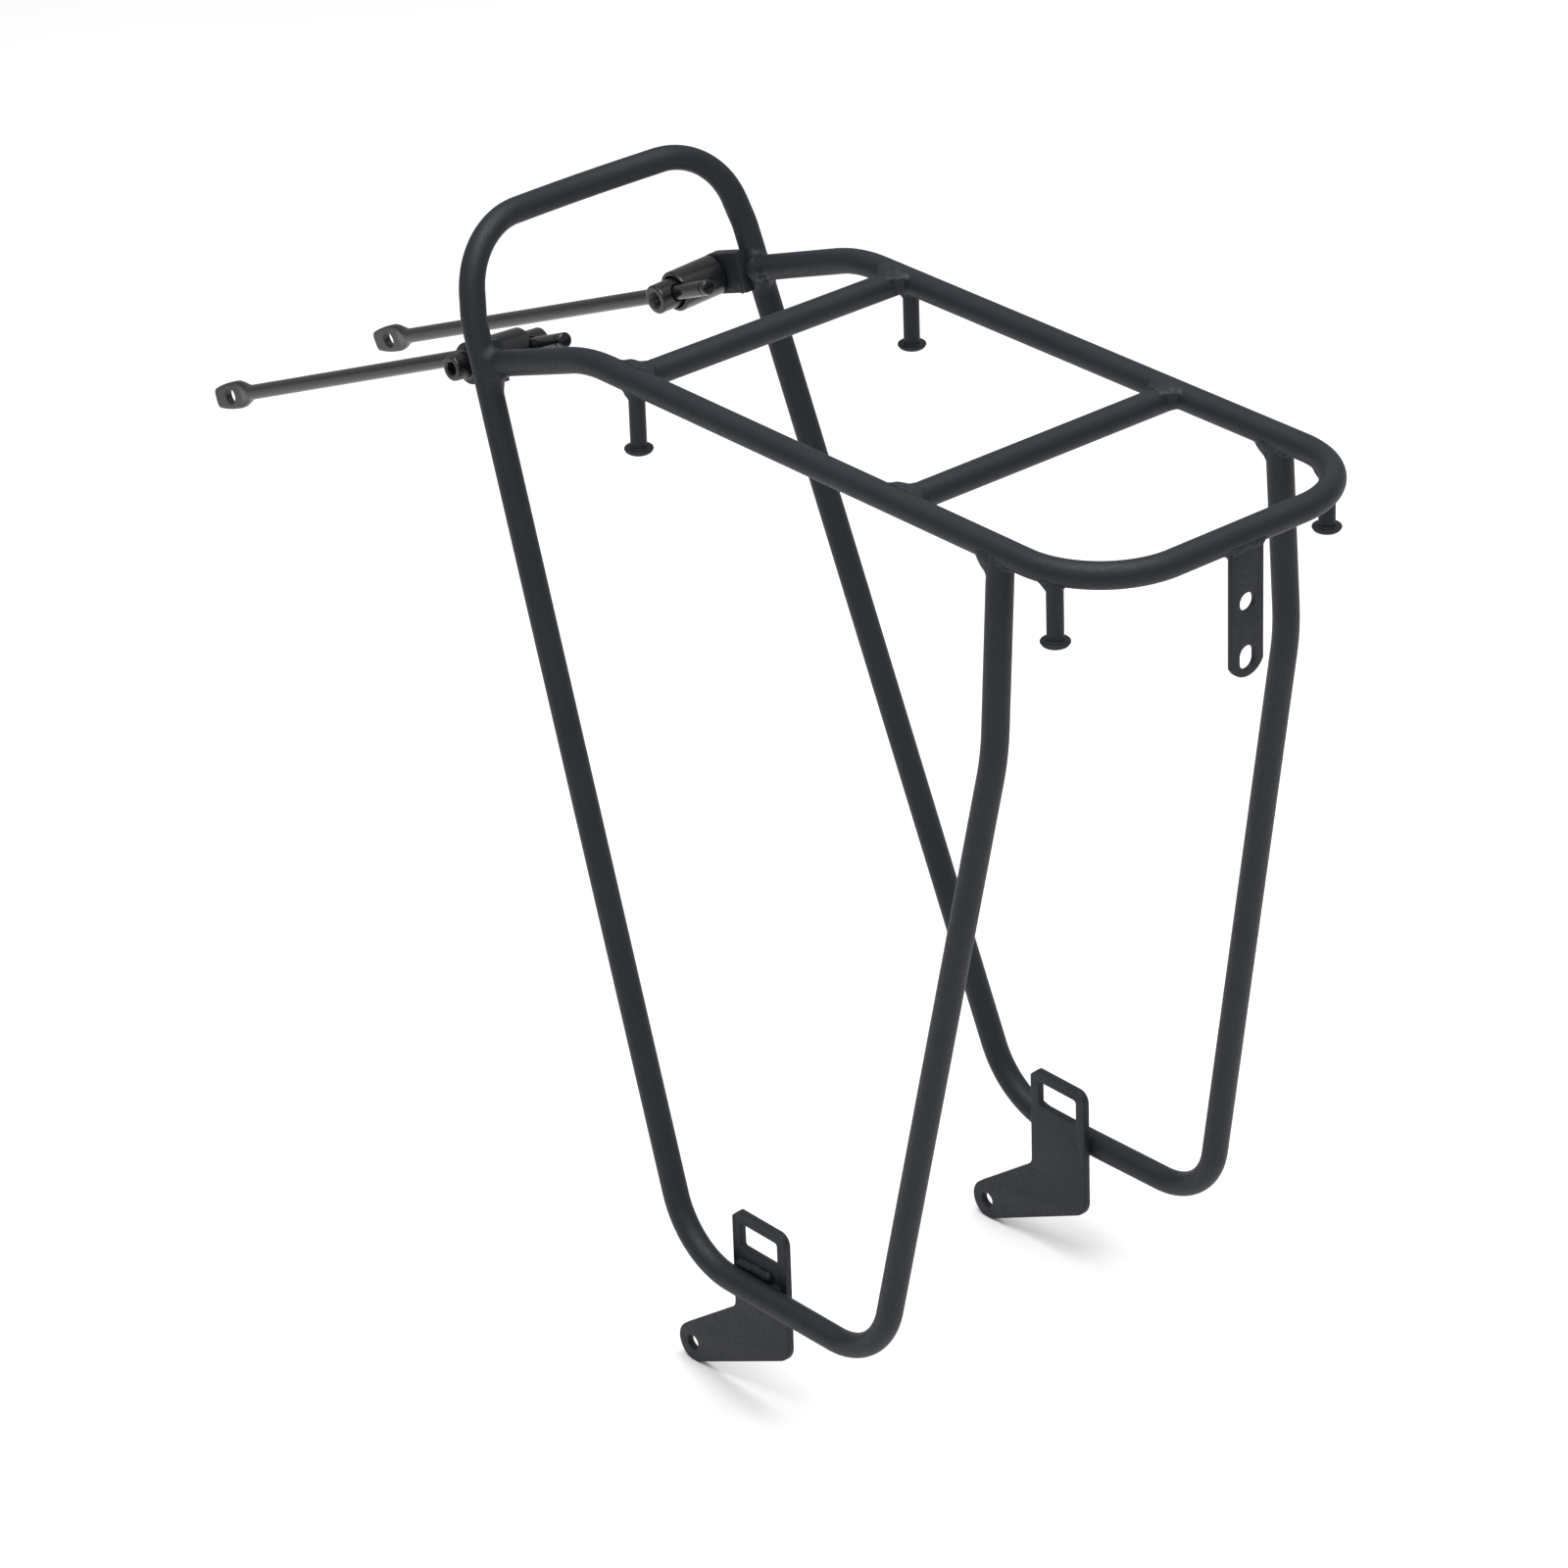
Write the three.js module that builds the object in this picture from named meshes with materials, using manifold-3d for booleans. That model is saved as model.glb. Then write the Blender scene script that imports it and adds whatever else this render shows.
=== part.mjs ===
// Rear bicycle rack: a bent-rod frame with foot plates, bungee studs, a light
// bracket and two adjustable front stays held in eye-nut clamps.
// Millimetres. +X is forwards on the bicycle, +Y is left, +Z is up.
// The origin is the midpoint of the line through the two foot-plate bolt holes.

import * as THREE from 'three';
import { mergeVertices } from 'three/addons/utils/BufferGeometryUtils.js';
import Module from 'manifold-3d';

const wasm = await Module();
wasm.setup();

// ---- Driving dimensions ----

const ROD_RADIUS = 5;
const ROD_SIDES = 16;
const GAP = 0.3;
const BEND_STEP_DEG = 12;

const DECK_Z = 394.4;
const RAIL_Y = 66.5;
const REAR_BAR_X = -220.6;

// Left half of the rod that makes the legs and the hoop, from the rear leg's
// top, down and round the foot, up the front leg and over the hoop.
const LEG_AND_HOOP = [
  { at: [-172.6, 66.5, DECK_Z] },
  { at: [-172.5, 70.9, 317.0], bend: 96 },
  { at: [-117.7, 84.2, 47.3], bend: 31.7 },
  { at: [-6.9, 83.3, 45.2], bend: 34.8 },
  { at: [118.7, 66.2, 389.0], bend: 22 },
  { at: [128.7, 58.9, 421.3], bend: 30 },
];
const HOOP_TOP = { at: [134.4, 0, 419.3], bend: 250 };

// Left half of the rod that makes the deck: neck, rail and rear bar.
const DECK = [
  { at: [109.5, 63.6, 373.8] },
  { at: [51.8, 65.7, DECK_Z], bend: 66 },
  { at: [REAR_BAR_X, RAIL_Y, DECK_Z], bend: 35.7 },
];

const CROSS_TUBE_REACH = 64;
const CROSS_TUBE_FRONT = { x: 27.5, z: DECK_Z - 1 };
const CROSS_TUBE_REAR = { x: -118.9, z: DECK_Z - 1 };

const STUD_FRONT = { x: 23.2, y: 66.5 };
const STUD_REAR = { x: -198.1, y: 65.1 };
const STUD_STEM_RADIUS = 3.1;
const STUD_HEAD_RADIUS = 5.4;
const STUD_HEAD_TOP = -25.2;
const STUD_BOTTOM = -28.2;
const STUD_COLLAR_RADIUS = 4.6;

const BRACKET_THICKNESS = 2;
const BRACKET_HALF_WIDTH = 7.8;
const BRACKET_TOP_Z = 392;
const BRACKET_BOTTOM_Z = 341.8;
const BRACKET_END_RISE = 5;
const BRACKET_HOLE_RADIUS = 3.5;
const BRACKET_HOLE_Z = 370.5;
const BRACKET_SLOT_Z = 349.1;
const BRACKET_SLOT_EXTRA = 2.2;

const PLATE_INNER_Y = 75.2;
const PLATE_THICKNESS = 3;
const PLATE_TOP_Z = 72.6;
const PLATE_FRONT_X = -26.8;
const PLATE_REAR_X = -57.6;
const PLATE_CHAMFER = [3.6, 3.2];
const PLATE_TOP_REAR_BEND = 4.8;
const PLATE_HEEL_BEND = 8;
const PLATE_NOTCH_BEND = 5;
const TOE_RADIUS = 8.1;
const TOE_TOP_SLOPE_DEG = -35.2;
const TOE_BOTTOM_SLOPE_DEG = -25.1;
const BOLT_HOLE_RADIUS = 3;
const STRAP_SLOT = { x0: -52.7, x1: -31.6, z0: 57.4, z1: 67.8, corner: 1.2 };

// Clamp frame: origin where the stay crosses the clamp axis, +Y outwards
// along the clamp axis, the stay pitched down towards the front.
const CLAMP_CENTRE = [127.9, 35.7, 366.2];
const CLAMP_TILT_DEG = 3.2;
const STAY_PITCH_DEG = 22.9;
const LUG_PITCH_DEG = 18.9;

const STAY_RADIUS = 3;
const STAY_REAR_X = -26.4;
const EYELET_X = 204.5;
const EYELET_HALF_WIDTH = 5.6;
const EYELET_HALF_THICKNESS = 1.7;
const EYELET_HOLE_RADIUS = 3;
const STAY_SIDES = 24;

const NUT_RADIUS = 5.75;
const NUT_INNER_Y = -7.9;
const NUT_OUTER_Y = 14;
const NUT_THREAD_RADIUS = 2.75;
const NUT_CHAMFER = 0.5;
const CROSS_HOLE_RADIUS = 3.3;

const SPACER_RADIUS = 8;
const SPACER_INNER_Y = 1.5;
const SPACER_CUP_RADIUS = 6.2;
const SPACER_CUP_FLOOR_Y = 15.6;
const SCREW_CLEARANCE_RADIUS = 3.3;

const LUG_INNER_Y = 22.2;
const LUG_THICKNESS = 5.3;
const LUG_RADIUS = 8.1;
const LUG_LENGTH = 14.4;

const WASHER_RADIUS = 6;
const WASHER_THICKNESS = 1.6;
const SCREW_HEAD_RADIUS = 5;
const SCREW_HEAD_HEIGHT = 6;
const SCREW_SHANK_RADIUS = 3;
const SCREW_THREAD_RADIUS = 2.45;
const SCREW_THREAD_START_Y = 15.2;
const SCREW_TIP_Y = 4.6;
const SOCKET_ACROSS_FLATS = 5;
const SOCKET_DEPTH = 3.5;
const ROUND_SIDES = 32;

// ---- Solids ----

function solidOf(geometry) {
  const bare = geometry.clone();
  bare.deleteAttribute('normal');
  bare.deleteAttribute('uv');
  const merged = mergeVertices(bare, 1e-5);
  return new wasm.Manifold(new wasm.Mesh({
    numProp: 3,
    vertProperties: new Float32Array(merged.attributes.position.array),
    triVerts: new Uint32Array(merged.index.array),
  }));
}

function geometryOf(solid) {
  const mesh = solid.getMesh();
  const geometry = new THREE.BufferGeometry();
  geometry.setAttribute('position', new THREE.BufferAttribute(new Float32Array(mesh.vertProperties), 3));
  geometry.setIndex(new THREE.BufferAttribute(new Uint32Array(mesh.triVerts), 1));
  const flat = geometry.toNonIndexed();
  flat.computeVertexNormals();
  return flat;
}

function cut(geometry, cutters) {
  const result = cutters.reduce((solid, cutter) => solid.subtract(solidOf(cutter)), solidOf(geometry));
  return geometryOf(result);
}

function mirrored(geometry) {
  const flat = geometry.index ? geometry.toNonIndexed() : geometry.clone();
  flat.scale(1, -1, 1);
  const position = flat.attributes.position;
  const a = new THREE.Vector3();
  const b = new THREE.Vector3();
  for (let i = 0; i < position.count; i += 3) {
    a.fromBufferAttribute(position, i + 1);
    b.fromBufferAttribute(position, i + 2);
    position.setXYZ(i + 1, b.x, b.y, b.z);
    position.setXYZ(i + 2, a.x, a.y, a.z);
  }
  flat.computeVertexNormals();
  return flat;
}

// ---- Bent rods ----

// A path of straight runs and circular bends, sampled only where it turns.
class BentPath extends THREE.Curve {
  constructor(corners) {
    super();
    this.points = [];
    this.tangents = [];
    const at = corners.map((corner) => new THREE.Vector3(...corner.at));
    const last = corners.length - 1;
    const headings = at.slice(1).map((point, i) => point.clone().sub(at[i]).normalize());
    this.add(at[0], headings[0]);
    for (let i = 1; i < last; i += 1) {
      this.addBend(at[i], headings[i - 1], headings[i], corners[i].bend);
    }
    this.add(at[last], headings[last - 1]);
  }

  add(point, tangent) {
    this.points.push(point.clone());
    this.tangents.push(tangent.clone());
  }

  addBend(corner, before, after, radius) {
    const angle = before.angleTo(after);
    const start = corner.clone().addScaledVector(before, -radius * Math.tan(angle / 2));
    const axis = before.clone().cross(after).normalize();
    const inwards = axis.clone().cross(before);
    const centre = start.clone().addScaledVector(inwards, radius);
    const spoke = start.clone().sub(centre);
    const steps = Math.max(2, Math.ceil(THREE.MathUtils.radToDeg(angle) / BEND_STEP_DEG));
    for (let i = 0; i <= steps; i += 1) {
      const turn = (angle * i) / steps;
      this.add(
        spoke.clone().applyAxisAngle(axis, turn).add(centre),
        before.clone().applyAxisAngle(axis, turn),
      );
    }
  }

  get steps() {
    return this.points.length - 1;
  }

  getPointAt(u, target = new THREE.Vector3()) {
    return target.copy(this.points[Math.round(u * this.steps)]);
  }

  getTangentAt(u, target = new THREE.Vector3()) {
    return target.copy(this.tangents[Math.round(u * this.steps)]);
  }
}

function circlePoints(radius, sides) {
  const points = [];
  for (let i = 0; i < sides; i += 1) {
    const angle = (2 * Math.PI * i) / sides;
    points.push(new THREE.Vector2(radius * Math.cos(angle), radius * Math.sin(angle)));
  }
  return points;
}

function rod(corners, radius = ROD_RADIUS, sides = ROD_SIDES) {
  const path = new BentPath(corners);
  const section = new THREE.Shape(circlePoints(radius, sides));
  return new THREE.ExtrudeGeometry(section, { steps: path.steps, extrudePath: path });
}

function withMirror(half, middle = []) {
  const other = half.map((corner) => ({ ...corner, at: [corner.at[0], -corner.at[1], corner.at[2]] }));
  return [...half, ...middle, ...other.reverse()];
}

// ---- Flat plates ----

// A closed outline whose corners are rounded with the given bends.
function roundedOutline(corners) {
  const shape = new THREE.Shape();
  const count = corners.length;
  corners.forEach((corner, i) => {
    const here = new THREE.Vector2(...corner.at);
    const before = here.clone().sub(new THREE.Vector2(...corners[(i + count - 1) % count].at)).normalize();
    const after = new THREE.Vector2(...corners[(i + 1) % count].at).sub(here).normalize();
    const turn = Math.atan2(before.cross(after), before.dot(after));
    const radius = corner.bend ?? 0;
    const setback = radius * Math.tan(Math.abs(turn) / 2);
    const steps = radius > 0 ? Math.max(2, Math.ceil(THREE.MathUtils.radToDeg(Math.abs(turn)) / 15)) : 0;
    const start = here.clone().addScaledVector(before, -setback);
    const side = Math.sign(turn);
    const centre = start.clone().add(new THREE.Vector2(-before.y, before.x).multiplyScalar(side * radius));
    for (let k = 0; k <= steps; k += 1) {
      const point = start.clone().rotateAround(centre, steps > 0 ? (turn * k) / steps : 0);
      if (i === 0 && k === 0) {
        shape.moveTo(point.x, point.y);
      } else {
        shape.lineTo(point.x, point.y);
      }
    }
  });
  return shape;
}

// Extrudes an outline drawn in X and Z, from y = y0 towards +Y.
function uprightPlate(shape, y0, thickness) {
  const geometry = new THREE.ExtrudeGeometry(shape, { depth: thickness, bevelEnabled: false });
  geometry.rotateX(Math.PI / 2);
  geometry.translate(0, y0 + thickness, 0);
  return geometry;
}

// A cylinder along Y between two heights.
function pinAlongY(radius, y0, y1, sides = ROUND_SIDES) {
  const geometry = new THREE.CylinderGeometry(radius, radius, y1 - y0, sides);
  geometry.translate(0, (y0 + y1) / 2, 0);
  return geometry;
}

function turned(profile, sides = ROUND_SIDES) {
  return new THREE.LatheGeometry(profile.map(([r, y]) => new THREE.Vector2(r, y)), sides);
}

// ---- Frame ----

const legAndHoopCorners = withMirror(LEG_AND_HOOP, [HOOP_TOP]);
const deckCorners = withMirror(DECK);

function deckClearance() {
  return rod(deckCorners, ROD_RADIUS + GAP);
}

function legClearance() {
  return rod(legAndHoopCorners, ROD_RADIUS + GAP);
}

function crossTube(place, radius = ROD_RADIUS, reach = CROSS_TUBE_REACH) {
  return rod([{ at: [place.x, reach, place.z] }, { at: [place.x, -reach, place.z] }], radius);
}

function stud(place) {
  const geometry = turned([
    [0, STUD_BOTTOM],
    [0.5 * STUD_HEAD_RADIUS, STUD_BOTTOM + 0.2],
    [0.8 * STUD_HEAD_RADIUS, STUD_BOTTOM + 0.7],
    [STUD_HEAD_RADIUS, STUD_BOTTOM + 1.6],
    [STUD_HEAD_RADIUS, STUD_HEAD_TOP - 0.4],
    [STUD_HEAD_RADIUS - 0.4, STUD_HEAD_TOP],
    [STUD_STEM_RADIUS, STUD_HEAD_TOP],
    [STUD_STEM_RADIUS, -8.5],
    [STUD_STEM_RADIUS + 0.6, -6.2],
    [STUD_COLLAR_RADIUS, -4.2],
    [STUD_COLLAR_RADIUS, 0],
    [0, 0],
  ], 24);
  geometry.rotateX(Math.PI / 2);
  geometry.translate(place.x, place.y, DECK_Z);
  return cut(geometry, [deckClearance(), crossTube(CROSS_TUBE_FRONT, ROD_RADIUS + GAP)]);
}

function lightBracket() {
  const outline = new THREE.Shape();
  const endRadius = (BRACKET_HALF_WIDTH ** 2 + BRACKET_END_RISE ** 2) / (2 * BRACKET_END_RISE);
  const halfArc = Math.asin(BRACKET_HALF_WIDTH / endRadius);
  outline.moveTo(-BRACKET_HALF_WIDTH, BRACKET_TOP_Z);
  outline.lineTo(-BRACKET_HALF_WIDTH, BRACKET_BOTTOM_Z + BRACKET_END_RISE);
  const arcSteps = 12;
  for (let i = 1; i <= arcSteps; i += 1) {
    const angle = -halfArc + (2 * halfArc * i) / arcSteps;
    outline.lineTo(endRadius * Math.sin(angle), BRACKET_BOTTOM_Z + endRadius * (1 - Math.cos(angle)));
  }
  outline.lineTo(BRACKET_HALF_WIDTH, BRACKET_TOP_Z);
  outline.closePath();
  const plate = uprightPlate(outline, 0, BRACKET_THICKNESS);
  const holes = [BRACKET_HOLE_Z, BRACKET_SLOT_Z - BRACKET_SLOT_EXTRA / 2, BRACKET_SLOT_Z + BRACKET_SLOT_EXTRA / 2];
  const drills = holes.map((z) => pinAlongY(BRACKET_HOLE_RADIUS, -1, BRACKET_THICKNESS + 1, 24).translate(0, 0, z));
  const slotWeb = new THREE.BoxGeometry(2 * BRACKET_HOLE_RADIUS, BRACKET_THICKNESS + 2, BRACKET_SLOT_EXTRA);
  slotWeb.translate(0, BRACKET_THICKNESS / 2, BRACKET_SLOT_Z);
  const drilled = cut(plate, [...drills, slotWeb]);
  drilled.rotateZ(Math.PI / 2);
  drilled.translate(REAR_BAR_X - ROD_RADIUS + BRACKET_THICKNESS, 0, 0);
  return cut(drilled, [deckClearance()]);
}

function footPlate() {
  const toeTop = THREE.MathUtils.degToRad(TOE_TOP_SLOPE_DEG);
  const toeBottom = THREE.MathUtils.degToRad(TOE_BOTTOM_SLOPE_DEG);
  const topTangent = [-TOE_RADIUS * Math.sin(toeTop), TOE_RADIUS * Math.cos(toeTop)];
  const bottomTangent = [TOE_RADIUS * Math.sin(toeBottom), -TOE_RADIUS * Math.cos(toeBottom)];
  const notchZ = topTangent[1] + (PLATE_FRONT_X - topTangent[0]) * Math.tan(toeTop);
  const heelZ = bottomTangent[1] + (PLATE_REAR_X - bottomTangent[0]) * Math.tan(toeBottom);
  const toe = [];
  const toeSteps = 12;
  for (let i = 0; i <= toeSteps; i += 1) {
    const angle = toeBottom - Math.PI / 2 + ((Math.PI + toeTop - toeBottom) * i) / toeSteps;
    toe.push({ at: [TOE_RADIUS * Math.cos(angle), TOE_RADIUS * Math.sin(angle)] });
  }
  const outline = roundedOutline([
    { at: [PLATE_REAR_X, heelZ], bend: PLATE_HEEL_BEND },
    ...toe,
    { at: [PLATE_FRONT_X, notchZ], bend: PLATE_NOTCH_BEND },
    { at: [PLATE_FRONT_X, PLATE_TOP_Z - PLATE_CHAMFER[1]] },
    { at: [PLATE_FRONT_X - PLATE_CHAMFER[0], PLATE_TOP_Z] },
    { at: [PLATE_REAR_X, PLATE_TOP_Z], bend: PLATE_TOP_REAR_BEND },
  ]);
  const slot = roundedOutline([
    { at: [STRAP_SLOT.x0, STRAP_SLOT.z0], bend: STRAP_SLOT.corner },
    { at: [STRAP_SLOT.x1, STRAP_SLOT.z0], bend: STRAP_SLOT.corner },
    { at: [STRAP_SLOT.x1, STRAP_SLOT.z1], bend: STRAP_SLOT.corner },
    { at: [STRAP_SLOT.x0, STRAP_SLOT.z1], bend: STRAP_SLOT.corner },
  ]);
  const cutters = [
    uprightPlate(slot, PLATE_INNER_Y - 1, PLATE_THICKNESS + 2),
    pinAlongY(BOLT_HOLE_RADIUS, PLATE_INNER_Y - 1, PLATE_INNER_Y + PLATE_THICKNESS + 1),
  ];
  return cut(uprightPlate(outline, PLATE_INNER_Y, PLATE_THICKNESS), cutters);
}

// ---- Stay clamp, built in the clamp frame ----

function placed(geometry, pitchDeg) {
  geometry.rotateY(THREE.MathUtils.degToRad(pitchDeg));
  geometry.rotateX(THREE.MathUtils.degToRad(CLAMP_TILT_DEG));
  geometry.translate(...CLAMP_CENTRE);
  return geometry;
}

// The hole or groove the stay runs in, along the clamp frame's X.
function stayBore() {
  const geometry = new THREE.CylinderGeometry(CROSS_HOLE_RADIUS, CROSS_HOLE_RADIUS, 40, STAY_SIDES);
  geometry.rotateZ(Math.PI / 2);
  return geometry;
}

function clampLug() {
  const outline = new THREE.Shape();
  outline.moveTo(-LUG_LENGTH, LUG_RADIUS);
  outline.lineTo(-LUG_LENGTH, -LUG_RADIUS);
  const noseSteps = 14;
  for (let i = 0; i <= noseSteps; i += 1) {
    const angle = -Math.PI / 2 + (Math.PI * i) / noseSteps;
    outline.lineTo(LUG_RADIUS * Math.cos(angle), LUG_RADIUS * Math.sin(angle));
  }
  outline.closePath();
  const plate = uprightPlate(outline, LUG_INNER_Y, LUG_THICKNESS);
  const drill = pinAlongY(SCREW_CLEARANCE_RADIUS, LUG_INNER_Y - 1, LUG_INNER_Y + LUG_THICKNESS + 1);
  return cut(placed(cut(plate, [drill]), LUG_PITCH_DEG), [legClearance()]);
}

function clampSpacer() {
  const outerY = LUG_INNER_Y - GAP;
  const geometry = turned([
    [SCREW_CLEARANCE_RADIUS, outerY],
    [SCREW_CLEARANCE_RADIUS, SPACER_CUP_FLOOR_Y],
    [SPACER_CUP_RADIUS, SPACER_CUP_FLOOR_Y],
    [SPACER_CUP_RADIUS, SPACER_INNER_Y],
    [SPACER_RADIUS, SPACER_INNER_Y],
    [SPACER_RADIUS, outerY],
    [SCREW_CLEARANCE_RADIUS, outerY],
  ]);
  return placed(cut(geometry, [stayBore()]), STAY_PITCH_DEG);
}

function eyeNut() {
  const geometry = turned([
    [NUT_THREAD_RADIUS, NUT_OUTER_Y],
    [NUT_THREAD_RADIUS, NUT_INNER_Y],
    [NUT_RADIUS - NUT_CHAMFER, NUT_INNER_Y],
    [NUT_RADIUS, NUT_INNER_Y + NUT_CHAMFER],
    [NUT_RADIUS, NUT_OUTER_Y],
    [NUT_THREAD_RADIUS, NUT_OUTER_Y],
  ]);
  return placed(cut(geometry, [stayBore()]), STAY_PITCH_DEG);
}

function clampWasher() {
  const y0 = LUG_INNER_Y + LUG_THICKNESS + GAP;
  const y1 = y0 + WASHER_THICKNESS;
  const geometry = turned([
    [SCREW_CLEARANCE_RADIUS, y1],
    [SCREW_CLEARANCE_RADIUS, y0],
    [WASHER_RADIUS, y0],
    [WASHER_RADIUS, y1],
    [SCREW_CLEARANCE_RADIUS, y1],
  ]);
  return placed(geometry, STAY_PITCH_DEG);
}

function clampScrew() {
  const headY = LUG_INNER_Y + LUG_THICKNESS + GAP + WASHER_THICKNESS + GAP;
  const faceY = headY + SCREW_HEAD_HEIGHT;
  const geometry = turned([
    [0, SCREW_TIP_Y],
    [SCREW_THREAD_RADIUS - 0.6, SCREW_TIP_Y],
    [SCREW_THREAD_RADIUS, SCREW_TIP_Y + 0.6],
    [SCREW_THREAD_RADIUS, SCREW_THREAD_START_Y],
    [SCREW_SHANK_RADIUS, SCREW_THREAD_START_Y + 0.3],
    [SCREW_SHANK_RADIUS, headY],
    [SCREW_HEAD_RADIUS, headY],
    [SCREW_HEAD_RADIUS, faceY - 0.6],
    [SCREW_HEAD_RADIUS - 0.6, faceY],
    [0, faceY],
  ]);
  const socketRadius = SOCKET_ACROSS_FLATS / Math.sqrt(3);
  const socket = pinAlongY(socketRadius, faceY - SOCKET_DEPTH, faceY + 1, 6);
  return placed(cut(geometry, [socket]), STAY_PITCH_DEG);
}

// Joins rings of points, all the same length, into one closed body.
function lofted(rings) {
  const sides = rings[0].length;
  const positions = [];
  const index = [];
  rings.forEach((ring) => ring.forEach((point) => positions.push(...point)));
  for (let r = 0; r < rings.length - 1; r += 1) {
    for (let i = 0; i < sides; i += 1) {
      const next = (i + 1) % sides;
      const a = r * sides + i;
      const b = r * sides + next;
      index.push(a, b, a + sides, b, b + sides, a + sides);
    }
  }
  const last = (rings.length - 1) * sides;
  for (let i = 1; i < sides - 1; i += 1) {
    index.push(0, i + 1, i);
    index.push(last, last + i, last + i + 1);
  }
  const geometry = new THREE.BufferGeometry();
  geometry.setAttribute('position', new THREE.BufferAttribute(new Float32Array(positions), 3));
  geometry.setIndex(index);
  return geometry;
}

// A section across the stay: round when the two half sizes are equal,
// squarer as it is pressed flat.
function staySection(x, halfThickness, halfWidth, squareness) {
  const ring = [];
  for (let i = 0; i < STAY_SIDES; i += 1) {
    const angle = (2 * Math.PI * (i + 0.5)) / STAY_SIDES;
    const c = Math.cos(angle);
    const s = Math.sin(angle);
    const y = Math.sign(c) * Math.abs(c) ** squareness * halfThickness;
    const z = Math.sign(s) * Math.abs(s) ** squareness * halfWidth;
    ring.push([x, y, z]);
  }
  return ring;
}

function stay() {
  const R = STAY_RADIUS;
  const W = EYELET_HALF_WIDTH;
  const T = EYELET_HALF_THICKNESS;
  const rings = [
    staySection(STAY_REAR_X, R - 0.8, R - 0.8, 1),
    staySection(STAY_REAR_X + 0.6, R, R, 1),
    staySection(STAY_REAR_X + 2.2, R, R, 1),
    staySection(STAY_REAR_X + 2.5, R - 0.3, R - 0.3, 1),
    staySection(STAY_REAR_X + 3.3, R - 0.3, R - 0.3, 1),
    staySection(STAY_REAR_X + 3.6, R, R, 1),
    staySection(EYELET_X - 14.5, R, R, 1),
    staySection(EYELET_X - 11, 0.6 * R + 0.4 * T, 3.8, 0.85),
    staySection(EYELET_X - 8, T, 4.9, 0.6),
    staySection(EYELET_X - 5, T, W - 0.1, 0.45),
    staySection(EYELET_X, T, W, 0.4),
    staySection(EYELET_X + 4.5, T, W - 0.3, 0.4),
    staySection(EYELET_X + 7.5, T, W - 0.9, 0.4),
    staySection(EYELET_X + 9.5, T, W - 1.7, 0.4),
    staySection(EYELET_X + 10.4, T, W - 2.7, 0.4),
  ];
  const hole = pinAlongY(EYELET_HOLE_RADIUS, -5, 5, 24).translate(EYELET_X, 0, 0);
  return placed(cut(lofted(rings), [hole]), STAY_PITCH_DEG);
}

// ---- Assembly ----

const powderCoat = new THREE.MeshStandardMaterial({ color: 0x2b2f33, roughness: 0.75, metalness: 0.2 });
const stayCoat = new THREE.MeshStandardMaterial({ color: 0x45453f, roughness: 0.55, metalness: 0.3 });
const blackSteel = new THREE.MeshStandardMaterial({ color: 0x1d1f22, roughness: 0.4, metalness: 0.7 });

const rack = new THREE.Group();
rack.name = 'rear_bicycle_rack';

function addPiece(name, geometry, material) {
  const mesh = new THREE.Mesh(geometry, material);
  mesh.name = name;
  rack.add(mesh);
}

function addPair(name, geometry, material) {
  addPiece(`${name}_left`, geometry, material);
  addPiece(`${name}_right`, mirrored(geometry), material);
}

addPiece('leg_and_hoop_rod', cut(rod(legAndHoopCorners), [deckClearance()]), powderCoat);
addPiece('deck_rod', cut(rod(deckCorners), [legClearance()]), powderCoat);
addPiece('cross_tube_front', cut(crossTube(CROSS_TUBE_FRONT), [deckClearance()]), powderCoat);
addPiece('cross_tube_rear', cut(crossTube(CROSS_TUBE_REAR), [deckClearance()]), powderCoat);
addPair('stud_front', stud(STUD_FRONT), powderCoat);
addPair('stud_rear', stud(STUD_REAR), powderCoat);
addPiece('light_bracket', lightBracket(), powderCoat);
addPair('foot_plate', footPlate(), powderCoat);
addPair('clamp_lug', clampLug(), powderCoat);
addPair('clamp_spacer', clampSpacer(), blackSteel);
addPair('clamp_washer', clampWasher(), blackSteel);
addPair('clamp_screw', clampScrew(), blackSteel);
addPair('eye_nut', eyeNut(), blackSteel);
addPair('stay', stay(), stayCoat);

export default rack;
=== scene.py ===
"""Rear bicycle rack: the finished looks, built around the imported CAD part.

Shapes are worked out in millimetres in the rack's own frame (+X forwards, +Y left,
+Z up, origin midway between the two foot-plate bolt holes) and become metres when a
mesh is made. The left side is built first and mirrored for the right.
"""

import math

import bpy
import numpy as np
from mathutils import Matrix, Vector, noise
from mathutils.geometry import tessellate_polygon


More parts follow.
